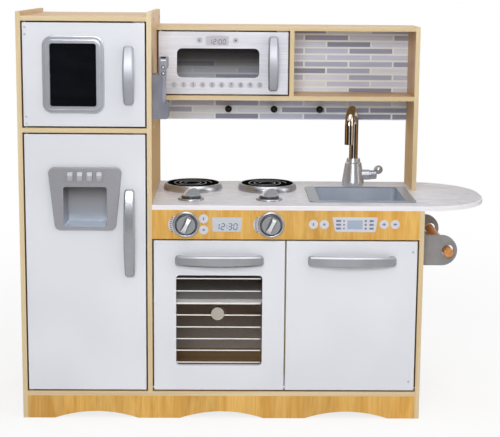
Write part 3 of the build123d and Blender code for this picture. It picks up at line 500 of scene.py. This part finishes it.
def makePane(name, look):
    material, add, place = startMaterial(name)
    haze = add("TexNoise", {"Vector": place}, size=look["haze"])
    colour = add("ValToRGB", {0: haze}, stops=zip(evenSpread, look["tones"]))
    height = add("SeparateXYZ", {0: place}).outputs[2]
    (low, top), (clearLow, clearTop) = look["levels"], look["clear"]
    # opacity rising towards the top is painted shade: strong on the microwave's sheet, slight on the oven's
    tintAndPaintedShade = add("MapRange", {0: height, 1: low * mm, 2: top * mm, 3: 1 - clearLow, 4: 1 - clearTop})
    return closeMaterial(material, look, colour, haze, Alpha=tintAndPaintedShade)


microwavePane = makePane("tinted acrylic sheet", tintedSheet)
ovenPane = makePane("clear acrylic sheet", clearSheet)

# coated sticker paper and screen inks: even and a little dull, with a trace of tooth drawn coarse to show
inkTooth, inkSheen = 1.6, 0.05
inks = {
    "label": ("coated sticker paper", "#D0CFD4", "#C6C5CB", 0.4),
    "clock": ("pale grey screen ink", "#C3C7CE", "#BABEC6", 0.4),
    "screen": ("blue grey screen ink", "#A3B0C2", "#98A5B8", 0.4),
    "blue": ("slate blue screen ink", "#717D9E", "#677291", 0.5),
    "dark": ("dark blue screen ink", "#525D7E", "#485271", 0.5),
    "key": ("silver grey screen ink", "#BEBDC4", "#B4B3BB", 0.45),
    "figure": ("grey screen ink", "#67656F", "#5D5B65", 0.5),
    "rung": ("white screen ink", "#EFECE8", "#E5E1DD", 0.45),
    "spot": ("warm grey screen ink", "#B3ACA1", "#A59E93", 0.5),
}
prints = {}
for key, (name, pale, deep, rough) in inks.items():
    sheen = (rough - inkSheen, rough + inkSheen)
    prints[key] = makeSkin(name, {"tones": (pale, deep), "cloud": inkTooth, "rough": sheen})
print("finishes made:", len(bpy.data.materials))


# which finish each CAD node wears
hungDoors = ("freezer", "fridge", "microwave", "oven", "dishwasher")
wearing = {
    mapleUpright: [
        "tower_left_side", "tower_right_side", "cabinet_right_side", "cabinet_divider", "wall_unit_divider",
        "wall_unit_right_side",
    ],
    mapleLevel: ["tower_top_panel", "tower_middle_shelf", "bottom_board", "wall_unit_top", "wall_unit_shelf"],
    honeyUpright: ["plinth", "fascia_panel"],
    whiteDoor: [door + "_door" for door in hungDoors if door != "microwave"],
    silverDoor: ["microwave_door"],
    worktopLaminate: ["worktop"],
    paleHardboard: ["tower_back_panel", "cabinet_back_panel", "oven_shelf"],
    tilePrint: ["backsplash"],
    bracketPaint: ["towel_brackets"],
    chalkPaint: ["chalkboard"],
    beechWood: ["towel_dowel"],
    silverPlastic: ["fridge_handle", "oven_handle", "dishwasher_handle"],
    dispenserPlastic: ["dispenser_housing"],
    sinkPlastic: ["sink_basin"],
    brightPlastic: ["tap_base", "tap_lever"],
    ringPlastic: ["burner_rings", "knob_bezels"],
    upperPlastic: ["freezer_handle", "microwave_handle"],
    buttonPlastic: ["dispenser_button_" + number for number in "1234"],
    framePlastic: ["chalkboard_frame"],
    fasciaKnob: ["oven_knob", "timer_knob"],
    hobKnob: ["left_hob_knob", "right_hob_knob"],
    chrome: ["tap_spout"],
    steel: [door + "_door_hardware" for door in hungDoors] + ["lower_hinge_lug"],
    phonePlastic: ["phone_holder"],
    handsetPlastic: ["phone_handset"],
    pegPlastic: ["utensil_pegs"],
    catchPlastic: ["magnet_catches"],
    hotplateBlack: ["burner_coils"],
    microwavePane: ["microwave_window"],
    ovenPane: ["oven_window"],
}
for finish, names in wearing.items():
    for name in names:
        nodes[name].data.materials.clear()
        nodes[name].data.materials.append(finish)
bare = sorted(set(nodes) - {name for names in wearing.values() for name in names})
print("nodes dressed:", len(nodes) - len(bare), "left bare:", bare)


# joins drawn parts, each an array of points in millimetres and its list of faces, into one piece on a body
def makePiece(name, parts, finish, body, smooth=False):
    starts = np.cumsum([0] + [len(points) for points, faces in parts])
    points = np.concatenate([points for points, faces in parts]) * mm
    faces = [[corner + start for corner in face] for (_, part), start in zip(parts, starts) for face in part]
    mesh = bpy.data.meshes.new(name)
    mesh.from_pydata(points.tolist(), [], faces)
    mesh.polygons.foreach_set("use_smooth", [smooth] * len(mesh.polygons))
    mesh.materials.append(finish)
    mesh.update()
    piece = bpy.data.objects.new(name, mesh)
    scene.collection.objects.link(piece)
    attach(piece, body)


# a flat drawing (x, y, lift) stood on a face that looks along -Y: y becomes height and lift comes forward
def onFront(part, x, z, faceY):
    points, faces = part
    return np.stack([points[:, 0] + x, faceY - points[:, 2], points[:, 1] + z], axis=1), faces


# the same drawing on a face that looks along +X: x becomes depth, y height, and lift goes to the right
def onRight(part, y, z, faceX):
    points, faces = part
    return np.stack([faceX + points[:, 2], points[:, 0] + y, points[:, 1] + z], axis=1), faces


# a thin patch: its outline is carried up through three levels, the last drawn in by the bevel, then capped
def patch(outline, lift, bevel):
    count = len(outline)
    middle = outline.mean(0)
    reach = np.linalg.norm(outline - middle, axis=1, keepdims=True)
    rings = np.stack([outline, outline, middle + (outline - middle) * (1 - bevel / reach)])
    levels = np.array([0.0, lift - bevel / 2, lift])[:, None, None].repeat(count, 1)
    points = np.concatenate([rings, levels], axis=2).reshape(-1, 3)
    here = np.arange(count)
    after = (here + 1) % count
    walls = [np.stack([here, after, after + count, here + count], 1) + ring * count for ring in range(2)]
    faces = np.concatenate(walls).tolist() + [(here + 2 * count).tolist(), here[::-1].tolist()]
    return points, faces


# a patch stood on a front face; sheet is its thickness and its bevel
def stuck(outline, sheet, faceY, x=0.0, z=0.0):
    return onFront(patch(outline, *sheet), x, z, faceY)


# a ribbon between two rails: the section low, high, high, low is carried along them and its ends are closed
def ribbon(railA, railB, lift):
    count = len(railA)
    rails = [(railA, 0.0), (railA, lift), (railB, lift), (railB, 0.0)]
    points = np.concatenate([np.column_stack([rail, np.full(count, level)]) for rail, level in rails])
    here = np.arange(count - 1)
    walls = []
    for rail in range(4):
        a, b = rail * count, (rail + 1) % 4 * count
        walls.append(np.stack([here + a, here + 1 + a, here + 1 + b, here + b], 1))
    ends = [[0, count, count * 2, count * 3], [count * 4 - 1, count * 3 - 1, count * 2 - 1, count - 1]]
    return points, np.concatenate(walls).tolist() + ends


# points round a circle, counter-clockwise
def circle(radius, sides=32, x=0.0, y=0.0):
    turn = np.arange(sides) * 2 * np.pi / sides
    return np.stack([x + radius * np.cos(turn), y + radius * np.sin(turn)], axis=1)


# a polygon whose corners are drawn as parabolas that start the given distance from each corner
def softOutline(corners, corner, steps=5):
    corners = np.array(corners, float)
    before, after = np.roll(corners, 1, 0) - corners, np.roll(corners, -1, 0) - corners
    start = corners + before / np.linalg.norm(before, axis=1, keepdims=True) * corner
    end = corners + after / np.linalg.norm(after, axis=1, keepdims=True) * corner
    t = np.linspace(0, 1, steps)[None, :, None]
    bends = (1 - t) ** 2 * start[:, None] + 2 * t * (1 - t) * corners[:, None] + t ** 2 * end[:, None]
    return bends.reshape(-1, 2)


# a rectangle with soft corners
def slab(x0, x1, y0, y1, corner=0.6):
    return softOutline([(x0, y0), (x1, y0), (x1, y1), (x0, y1)], corner)


# bars of a clock figure, as ends in a cell one wide and two high, and the bars that each figure lights
figureBars = np.array([
    [(0, 2), (1, 2)], [(1, 1), (1, 2)], [(1, 0), (1, 1)], [(0, 0), (1, 0)],
    [(0, 0), (0, 1)], [(0, 1), (0, 2)], [(0, 1), (1, 1)],
], float)
figureLit = {"0": [0, 1, 2, 3, 4, 5], "1": [1, 2], "2": [0, 1, 6, 4, 3], "3": [0, 1, 6, 2, 3]}
# shares of a figure's height, then of a bar's half thickness and of a cell; the bevel is in millimetres
figureStyle = {
    "wide": 0.54, "thick": 0.075, "gap": 0.34, "colonGap": 0.3, "dot": 1.1, "cut": 0.4,
    "dotLevels": (0.6, 1.4), "lean": 0.08, "bevel": 0.05,
}


# clock figures: each lit bar is a six-sided lozenge along its line, and the cell leans to the right
def clockFigures(time, height, lift):
    wide, thick, gap, colonGap = (figureStyle[name] * height for name in ("wide", "thick", "gap", "colonGap"))
    high, lean, bevel = height / 2, figureStyle["lean"], figureStyle["bevel"]
    parts = []
    pen = 0.0
    for figure in time:
        if figure == ":":
            for level in figureStyle["dotLevels"]:
                spot = circle(thick * figureStyle["dot"], 10, pen + thick + level * high * lean, level * high)
                parts.append(patch(spot, lift, bevel))
            pen += colonGap
            continue
        for bar in figureLit[figure]:
            ends = figureBars[bar] * (wide, high)
            along = (ends[1] - ends[0]) / np.linalg.norm(ends[1] - ends[0])
            across = np.array([along[1], -along[0]])
            cut = along * thick * figureStyle["cut"]
            a, b = ends[0] + cut, ends[1] - cut
            outline = np.array([
                a, a + (along + across) * thick, b + (across - along) * thick,
                b, b - (across + along) * thick, a + (along - across) * thick,
            ])
            outline[:, 0] += pen + outline[:, 1] * lean
            parts.append(patch(outline, lift, bevel))
        pen += wide + gap
    width = pen - gap
    return [(points - [width / 2, high, 0.0], faces) for points, faces in parts]


# a printed figure from the built-in font, made a closed mesh before it is placed
def printedFigure(body, size, lift):
    curve = bpy.data.curves.new("figure", "FONT")
    curve.body, curve.size, curve.align_x, curve.align_y = body, size * mm, "CENTER", "CENTER"
    curve.extrude, curve.resolution_u = lift / 2 * mm, 3
    holder = bpy.data.objects.new("figure", curve)
    scene.collection.objects.link(holder)
    bpy.context.view_layer.update()
    mesh = bpy.data.meshes.new_from_object(holder)
    solid = bmesh.new()
    solid.from_mesh(mesh)
    bmesh.ops.remove_doubles(solid, verts=solid.verts, dist=1e-7)
    bmesh.ops.recalc_face_normals(solid, faces=solid.faces)
    points = np.array([vert.co for vert in solid.verts]) / mm
    faces = [[vert.index for vert in face.verts] for face in solid.faces]
    solid.free()
    bpy.data.objects.remove(holder)
    bpy.data.meshes.remove(mesh)
    points[:, 2] += lift / 2
    return points, faces


# control panel on the fascia: round labels, a clock, a key pad and a dial scale beside each knob; paper and
# inks are given as thickness and bevel
panel = {
    "paper": (0.25, 0.15), "ink": (0.4, 0.1), "barInk": (0.38, 0.1), "timeLift": 0.42, "label": 11.7,
    "labels": [
        (-135.6, 525.5), (-135.3, 496.9), (142.0, 512.5), (169.8, 512.5), (321.2, 513.3), (349.3, 513.4),
    ],
    "dot": 3.0, "stroke": (-1.6, 1.6, -3.6, 3.6), "bar": (-4.6, 4.6, -1.3, 1.3), "barred": (4, 5),
    "clock": [(-112.5, 492.5), (-41.0, 492.5), (-38.0, 529.5), (-115.0, 529.5)], "clockCorner": 3.0,
    "time": "12:30", "timeHeight": 15.4, "timePlace": (-78.5, 505.5), "light": 2.2,
    "lights": [(-108.0, 522.5), (-46.0, 522.5)],
    "pad": [(197.5, 493.3), (300.0, 493.3), (304.5, 531.5), (189.8, 531.5)], "padCorner": 5.0,
    "padScreen": (228.0, 266.5, 500.5, 523.5, 1.0), "keyRows": (521.9, 512.2, 502.4), "keyHigh": 5.2,
    "wideKeys": [(199.5, 212.0), (284.0, 294.8)], "smallKeys": [(217.0, 222.0), (271.5, 277.5)],
    "knobs": [(-180.0, 510.5), (35.0, 510.5)], "scaleShift": 23.5, "scaleRadius": 21.8, "bezel": 34.4,
    "scaleSteps": 49, "ticks": 8, "tickTurn": 27.0, "tickReach": (36.6, 41.6), "tickHalf": 1.25,
}
smallSides = 12
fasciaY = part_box("fascia_panel")[0].y / mm
paper, ink = panel["paper"], panel["ink"]
labels, marks, figures = [], [], []
for at, (x, z) in enumerate(panel["labels"]):
    labels.append(stuck(circle(panel["label"]), paper, fasciaY, x, z))
    spot = circle(panel["dot"], smallSides) if at % 2 else slab(*panel["stroke"])
    marks.append(stuck(spot, ink, fasciaY, x, z))
    if at in panel["barred"]:
        marks.append(stuck(slab(*panel["bar"]), panel["barInk"], fasciaY, x, z))
labels.append(stuck(softOutline(panel["pad"], panel["padCorner"]), paper, fasciaY))
clock = stuck(softOutline(panel["clock"], panel["clockCorner"]), paper, fasciaY)
padScreen = stuck(slab(*panel["padScreen"]), ink, fasciaY)
for part in clockFigures(panel["time"], panel["timeHeight"], panel["timeLift"]):
    figures.append(onFront(part, *panel["timePlace"], fasciaY))
for x, z in panel["lights"]:
    labels.append(stuck(circle(panel["light"], smallSides), ink, fasciaY, x, z))
half = panel["keyHigh"] / 2
for z in panel["keyRows"]:
    for x0, x1 in panel["wideKeys"]:
        marks.append(stuck(slab(x0, x1, -half, half), ink, fasciaY, 0.0, z))
    for x0, x1 in panel["smallKeys"]:
        marks.append(stuck(circle((x1 - x0) / 2, smallSides), ink, fasciaY, (x0 + x1) / 2, z))
# the scale lies between the bezel's rim and a circle whose centre is moved to the left of the knob's, and
# stops one degree short of where the two meet
shift, radius, bezel = (panel[name] for name in ("scaleShift", "scaleRadius", "bezel"))
edge = math.degrees(math.acos((radius ** 2 - shift ** 2 - bezel ** 2) / (2 * shift * bezel)))
turn = np.radians(np.linspace(edge + 1, 359 - edge, panel["scaleSteps"]))
reach = -shift * np.cos(turn) + np.sqrt(radius ** 2 - (shift * np.sin(turn)) ** 2)
heading = np.stack([np.cos(turn), np.sin(turn)], axis=1)
tickTurn = np.radians(180 + np.linspace(-panel["tickTurn"], panel["tickTurn"], panel["ticks"]))
for x, z in panel["knobs"]:
    labels.append(onFront(ribbon(heading * reach[:, None], heading * bezel, paper[0]), x, z, fasciaY))
    for angle in tickTurn:
        out = np.array([np.cos(angle), np.sin(angle)])
        side = np.array([-np.sin(angle), np.cos(angle)]) * panel["tickHalf"]
        near, far = (out * distance for distance in panel["tickReach"])
        tick = np.array([near - side, far - side, far + side, near + side])
        figures.append(stuck(tick, ink, fasciaY, x, z))
makePiece("fascia_labels", labels, prints["label"], "carcass")
makePiece("fascia_clock", [clock], prints["clock"], "carcass")
makePiece("fascia_pad_screen", [padScreen], prints["screen"], "carcass")
makePiece("fascia_marks", marks, prints["blue"], "carcass")
makePiece("fascia_figures", figures, prints["dark"], "carcass")
print("fascia print:", len(labels), "labels,", len(marks) + len(figures), "marks")


# microwave door: a clock between two keys above the window, and ten numbered keys below it
keypad = {
    "clock": [(-135.0, 949.0), (-75.5, 949.0), (-74.0, 973.0), (-105.0, 976.0), (-136.5, 973.0)],
    "clockCorner": 2.5, "time": "12:00", "timeHeight": 12.5, "timePlace": (-105.5, 959.0),
    "topKeys": [(-152.8, 962.5), (-56.4, 962.5)], "keyRadius": 8.0, "keys": "1234567890",
    "keyStart": -220.9, "keyPitch": 25.5, "keyZ": 844.0, "figureSize": 13.0,
    "arrow": [(-2.2, -3.2), (3.4, 0.0), (-2.2, 3.2)], "arrowCorner": 0.4, "square": (-2.6, 2.6, -2.6, 2.6),
    "key": (0.2, 0.1), "ink": (0.36, 0.1),
}
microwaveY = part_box("microwave_door")[0].y / mm
keySheet, ink, keyZ = keypad["key"], keypad["ink"], keypad["keyZ"]
keyRound = circle(keypad["keyRadius"])
keys = [stuck(softOutline(keypad["clock"], keypad["clockCorner"]), keySheet, microwaveY)]
figures = []
for part in clockFigures(keypad["time"], keypad["timeHeight"], ink[0]):
    figures.append(onFront(part, *keypad["timePlace"], microwaveY))
signs = [softOutline(keypad["arrow"], keypad["arrowCorner"]), slab(*keypad["square"])]
for sign, (x, z) in zip(signs, keypad["topKeys"]):
    keys.append(stuck(keyRound, keySheet, microwaveY, x, z))
    figures.append(stuck(sign, ink, microwaveY, x, z))
for at, key in enumerate(keypad["keys"]):
    x = keypad["keyStart"] + at * keypad["keyPitch"]
    keys.append(stuck(keyRound, keySheet, microwaveY, x, keyZ))
    figures.append(onFront(printedFigure(key, keypad["figureSize"], ink[0]), x, keyZ, microwaveY))
makePiece("microwave_keys", keys, prints["key"], "microwave")
makePiece("microwave_figures", figures, prints["figure"], "microwave")
print("microwave print:", len(keys), "keys")


# oven pane: the rungs of a rack printed across it, the one over the shelf's front edge wider as painted
# highlight of that edge, and one plain round spot
rack = {
    "rungs": [367.8, 335.2, 302.8, 271.9, 240.2, 209.0, 178.2, 146.4], "wide": 2.9, "shelfEdgeRung": 2,
    "shelfHighlightWide": 4.6, "side": 109.9, "middle": -99.4, "steps": 12, "lift": 0.2, "spot": (-99.4, 275.0),
    "spotRadius": 16.8, "spotSides": 40, "spotInk": (0.3, 0.1),
}
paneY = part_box("oven_window")[0].y / mm
across = np.linspace(-rack["side"], rack["side"], rack["steps"])
rungs = []
for at, z in enumerate(rack["rungs"]):
    # the rung over the shelf's front edge is printed wider, as painted highlight of that lit edge
    half = (rack["shelfHighlightWide"] if at == rack["shelfEdgeRung"] else rack["wide"]) / 2
    top, low = np.column_stack([across, across * 0 + half]), np.column_stack([across, across * 0 - half])
    rungs.append(onFront(ribbon(low, top, rack["lift"]), rack["middle"], z, paneY))
makePiece("oven_rack_print", rungs, prints["rung"], "oven")
spot = circle(rack["spotRadius"], rack["spotSides"])
badge = stuck(spot, rack["spotInk"], paneY, *rack["spot"])
makePiece("oven_spot_print", [badge], prints["spot"], "oven")
print("oven print:", len(rungs), "rungs")


# faces of a polar grid: a fan round the middle, bands between its rings and a cap over the last ring
def polarFaces(rings, sides):
    here = np.arange(sides)
    after = (here + 1) % sides
    faces = np.stack([here * 0, here + 1, after + 1], 1).tolist()
    for ring in range(rings - 1):
        a, b = 1 + ring * sides, 1 + (ring + 1) * sides
        faces += np.stack([here + a, here + b, after + b, after + a], 1).tolist()
    return faces + [(here[::-1] + 1 + (rings - 1) * sides).tolist()]


# round caps turned from a profile of (radius, height) points; the first point is the middle of the top
def turned(profile, sides=24):
    profile = np.array(profile, float)
    rings = profile[1:, 0, None, None] * circle(1.0, sides)[None]
    levels = profile[1:, 1, None, None].repeat(sides, 1)
    points = np.concatenate([[[0, 0, profile[0, 1]]], np.concatenate([rings, levels], axis=2).reshape(-1, 3)])
    return points, polarFaces(len(profile) - 1, sides)


# cross-head screw: a low dome on a polar grid, sunk where the point lies inside either arm of the cross,
# whose half width and length are shares of the radius; the dome stands a little proud, and its base and
# cross end below the face
def screwHead(radius, dome=0.7, sink=0.9, arm=(0.17, 0.62), proud=0.15, lowest=-0.6, base=-0.8):
    rings, sides = 9, 32
    reach = np.linspace(0, 1, rings)[1:, None] * radius
    x, y = (reach * way for way in circle(1.0, sides).T)
    small, large = np.minimum(abs(x), abs(y)), np.maximum(abs(x), abs(y))
    z = dome * (1 - (reach / radius) ** 2) - sink * ((small < arm[0] * radius) & (large < arm[1] * radius))
    z = np.maximum(z + proud, lowest)
    grid = np.stack([x, y, z], axis=2).reshape(-1, 3)
    foot = np.stack([x[-1], y[-1], np.full(sides, base)], axis=1)
    return np.concatenate([[[0, 0, dome - sink]], grid, foot]), polarFaces(rings, sides)


# hinge screws in the freezer door's left edge and the dishwasher door's right edge, as (x, z)
screws = {
    "radius": 3.0, "freezer": [(-577.0, 1003.3), (-577.0, 986.4), (-577.0, 781.7), (-577.0, 764.0)],
    "dishwasher": [(397.0, 441.6), (394.5, 99.5)],
}
for body in ("freezer", "dishwasher"):
    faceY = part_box(body + "_door")[0].y / mm
    heads = [onFront(screwHead(screws["radius"]), x, z, faceY) for x, z in screws[body]]
    makePiece(body + "_screws", heads, steel, body, True)

# fixing caps on the tower's right face, as (y, z): dark ones at its top panel, a pale one at its shelf
caps = {
    "dark": [(-89.0, 1021.0), (170.0, 1020.3)], "pale": [(-90.9, 748.1)],
    "profile": [(0, 0.9), (3.6, 0.8), (4.9, 0.3), (5.0, 0)],
}
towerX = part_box("tower_right_side")[1].x / mm
for tone, finish, slot in (("dark", phonePlastic, "phone_plastic"), ("pale", catchPlastic, "catch_plastic")):
    heads = [onRight(turned(caps["profile"]), y, z, towerX) for y, z in caps[tone]]
    makePiece("tower_" + tone + "_caps", heads, finish, "carcass", True)
print("screws and caps placed")


# handset: a dark patch standing for the earpiece slot as painted shade, over a white band, and two ringed
# keys, on the edge that faces the viewer
trim = {
    "x": -238.2, "keys": [904.4, 889.1], "dome": [(0, 1.3), (1.6, 1.15), (2.7, 0.7), (3.3, 0.0)],
    "ring": [(0, 0.25), (4.5, 0.25), (4.8, 0.0)], "slot": (-244.5, -231.5, -2.2, 2.2, 1.0), "slotZ": 928.6,
    "band": (-244.5, -231.5, -1.6, 1.6, 0.8), "bandZ": 922.2, "sheet": (0.3, 0.1),
}
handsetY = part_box("phone_handset")[0].y / mm
keyX, sheet = trim["x"], trim["sheet"]
domes = [onFront(turned(trim["dome"]), keyX, z, handsetY) for z in trim["keys"]]
makePiece("handset_keys", domes, brightPlastic, "phone_handset_body", True)
rings = [onFront(turned(trim["ring"]), keyX, z, handsetY) for z in trim["keys"]]
# the earpiece slot is a flat black patch, painted shade of its recess
rings.append(stuck(slab(*trim["slot"]), sheet, handsetY, 0.0, trim["slotZ"]))
makePiece("handset_key_rings", rings, pegPlastic, "phone_handset_body")
band = stuck(slab(*trim["band"]), sheet, handsetY, 0.0, trim["bandZ"])
makePiece("handset_band", [band], prints["rung"], "phone_handset_body")
print("handset trim placed")


# one for a ray straight from the camera, a mirror or a pane, and nothing for the rest
def seenRay(add):
    rays = add("LightPath").outputs
    seen = add("Math", {0: rays["Is Camera Ray"], 1: rays["Is Glossy Ray"]}, operation="ADD")
    return add("Math", {0: seen, 1: rays["Is Transmission Ray"]}, operation="ADD", use_clamp=True)


# plain pale floor: nearly white beside the object, where it keeps a soft shadow, and white further off
floorLook = {"half": 9.0, "tone": "#F4F4F3", "near": 0.8, "fadeStart": 1.0, "fadeEnd": 2.8}
side = floorLook["half"]
floorMesh = bpy.data.meshes.new("floor")
floorCorners = [(-side, -side, 0), (side, -side, 0), (side, side, 0), (-side, side, 0)]
floorMesh.from_pydata(floorCorners, [], [(0, 1, 2, 3)])
floor = bpy.data.objects.new("floor", floorMesh)
scene.collection.objects.link(floor)
floorPaper, add, place = startMaterial("studio paper")
away = add("VectorMath", {0: place, 1: [0.0, 0.0, 0.0]}, operation="DISTANCE")
fade = add("MapRange", {
    0: away, 1: floorLook["fadeStart"], 2: floorLook["fadeEnd"], 3: floorLook["near"], 4: 1.0,
}, interpolation_type="SMOOTHSTEP")
whiten = add("Math", {0: fade, 1: seenRay(add)}, operation="MULTIPLY")
matt = add("BsdfDiffuse", {"Color": floorLook["tone"]})
glow = add("Emission", {"Color": [1, 1, 1, 1], "Strength": 1.0})
mixed = add("MixShader", {0: whiten, 1: matt, 2: glow})
add("OutputMaterial", {"Surface": mixed})
floorMesh.materials.append(floorPaper)


# white room: seen as white, and lighting the object at a plain level
room = {"light": 0.22, "tone": "#FAFBFF"}
world = bpy.data.worlds.new("white room")
scene.world = world
world.use_nodes = True
world.node_tree.nodes.clear()
add = partial(addNode, world.node_tree)
soft = add("Background", {"Color": room["tone"], "Strength": room["light"]})
white = add("Background", {"Color": [1, 1, 1, 1], "Strength": 1.0})
mixed = add("MixShader", {0: seenRay(add), 1: soft, 2: white})
add("OutputWorld", {"Surface": mixed})

# soft boxes: a small key in front and a little above, one overhead, one at the right, a weak one at the
# left and two for the back
lamps = {
    "key": {"place": (-0.25, -2.6, 1.62), "power": 31.0, "size": 0.9},
    "overhead": {"place": (0.2, -0.9, 3.4), "power": 36.0, "size": 2.4},
    "rightSide": {"place": (2.7, -1.3, 1.6), "power": 24.0, "size": 1.6},
    "leftSide": {"place": (-2.7, -1.6, 1.5), "power": 7.0, "size": 1.6},
    "backRight": {"place": (2.2, 2.6, 1.5), "power": 34.0, "size": 1.6},
    "backLeft": {"place": (-2.2, 2.6, 1.5), "power": 34.0, "size": 1.6},
}
aim = Vector((0.0, 0.0, 0.55))
for name, lamp in lamps.items():
    data = bpy.data.lights.new(name, "AREA")
    data.shape, data.size, data.energy = "SQUARE", lamp["size"], lamp["power"]
    light = bpy.data.objects.new(name, data)
    light.location = lamp["place"]
    light.rotation_euler = (aim - light.location).to_track_quat("-Z", "Y").to_euler()
    light.visible_camera = False
    scene.collection.objects.link(light)

# dark cards that only mirrors see, in front and behind at both sides, so that bright metal has edges to show
cards = {
    "frontLeft": {"from": (-2.6, -1.2), "to": (-0.5, -3.4), "high": 2.7},
    "frontRight": {"from": (0.75, -3.4), "to": (2.6, -1.4), "high": 2.7},
    "backLeft": {"from": (-3.2, 1.0), "to": (-1.0, 2.6), "high": 2.2},
    "backRight": {"from": (1.0, 2.6), "to": (3.2, 1.0), "high": 2.2},
    "back": {"from": (-1.0, 2.6), "to": (1.0, 2.6), "high": 0.88, "cloth": "brown card"},
}
cardTones = {"black card": ("#2B2520", "#221D19"), "brown card": ("#CDB597", "#C0A88A")}
cardLook = {"spread": (0.3, 0.7), "cloud": 30.0, "rough": 0.9}
cardCloth = {name: makeSkin(name, {**cardLook, "tones": tones}) for name, tones in cardTones.items()}
for name, card in cards.items():
    (xa, ya), (xb, yb), high = card["from"], card["to"], card["high"]
    mesh = bpy.data.meshes.new("card_" + name)
    mesh.from_pydata([(xa, ya, 0), (xb, yb, 0), (xb, yb, high), (xa, ya, high)], [], [(0, 1, 2, 3)])
    mesh.materials.append(cardCloth[card.get("cloth", "black card")])
    flag = bpy.data.objects.new("card_" + name, mesh)
    flag.visible_camera = flag.visible_diffuse = flag.visible_shadow = flag.visible_transmission = False
    scene.collection.objects.link(flag)
print("studio set")


# the photograph's view: place and angles in metres and degrees, lens and shift from a 500 by 437 picture
shot = {
    "place": (-0.0706, -3.2658, 1.1226), "tilt": 9.152, "yaw": 0.825, "roll": -0.457, "focal": 1243.7,
    "middle": (247.3, 180.0), "picture": (500, 437), "sensor": 36.0,
}
tilt, yaw, roll = (math.radians(shot[name]) for name in ("tilt", "yaw", "roll"))
ahead = np.array([math.sin(yaw) * math.cos(tilt), math.cos(yaw) * math.cos(tilt), -math.sin(tilt)])
right = np.array([math.cos(yaw), -math.sin(yaw), 0.0])
down = np.cross(ahead, right)
turnedRight = math.cos(roll) * right + math.sin(roll) * down
turnedDown = math.cos(roll) * down - math.sin(roll) * right
pose = np.eye(4)
pose[:3, 0], pose[:3, 1], pose[:3, 2], pose[:3, 3] = turnedRight, -turnedDown, -ahead, shot["place"]
lens = bpy.data.cameras.new("camera")
wide, high = shot["picture"]
lens.sensor_width = shot["sensor"]
lens.lens = shot["focal"] * shot["sensor"] / wide
lens.shift_x, lens.shift_y = (wide / 2 - shot["middle"][0]) / wide, (shot["middle"][1] - high / 2) / wide
camera = bpy.data.objects.new("camera", lens)
camera.matrix_world = Matrix(pose.tolist())
scene.collection.objects.link(camera)
scene.camera = camera
scene.view_settings.view_transform = "Standard"

bpy.context.view_layer.update()
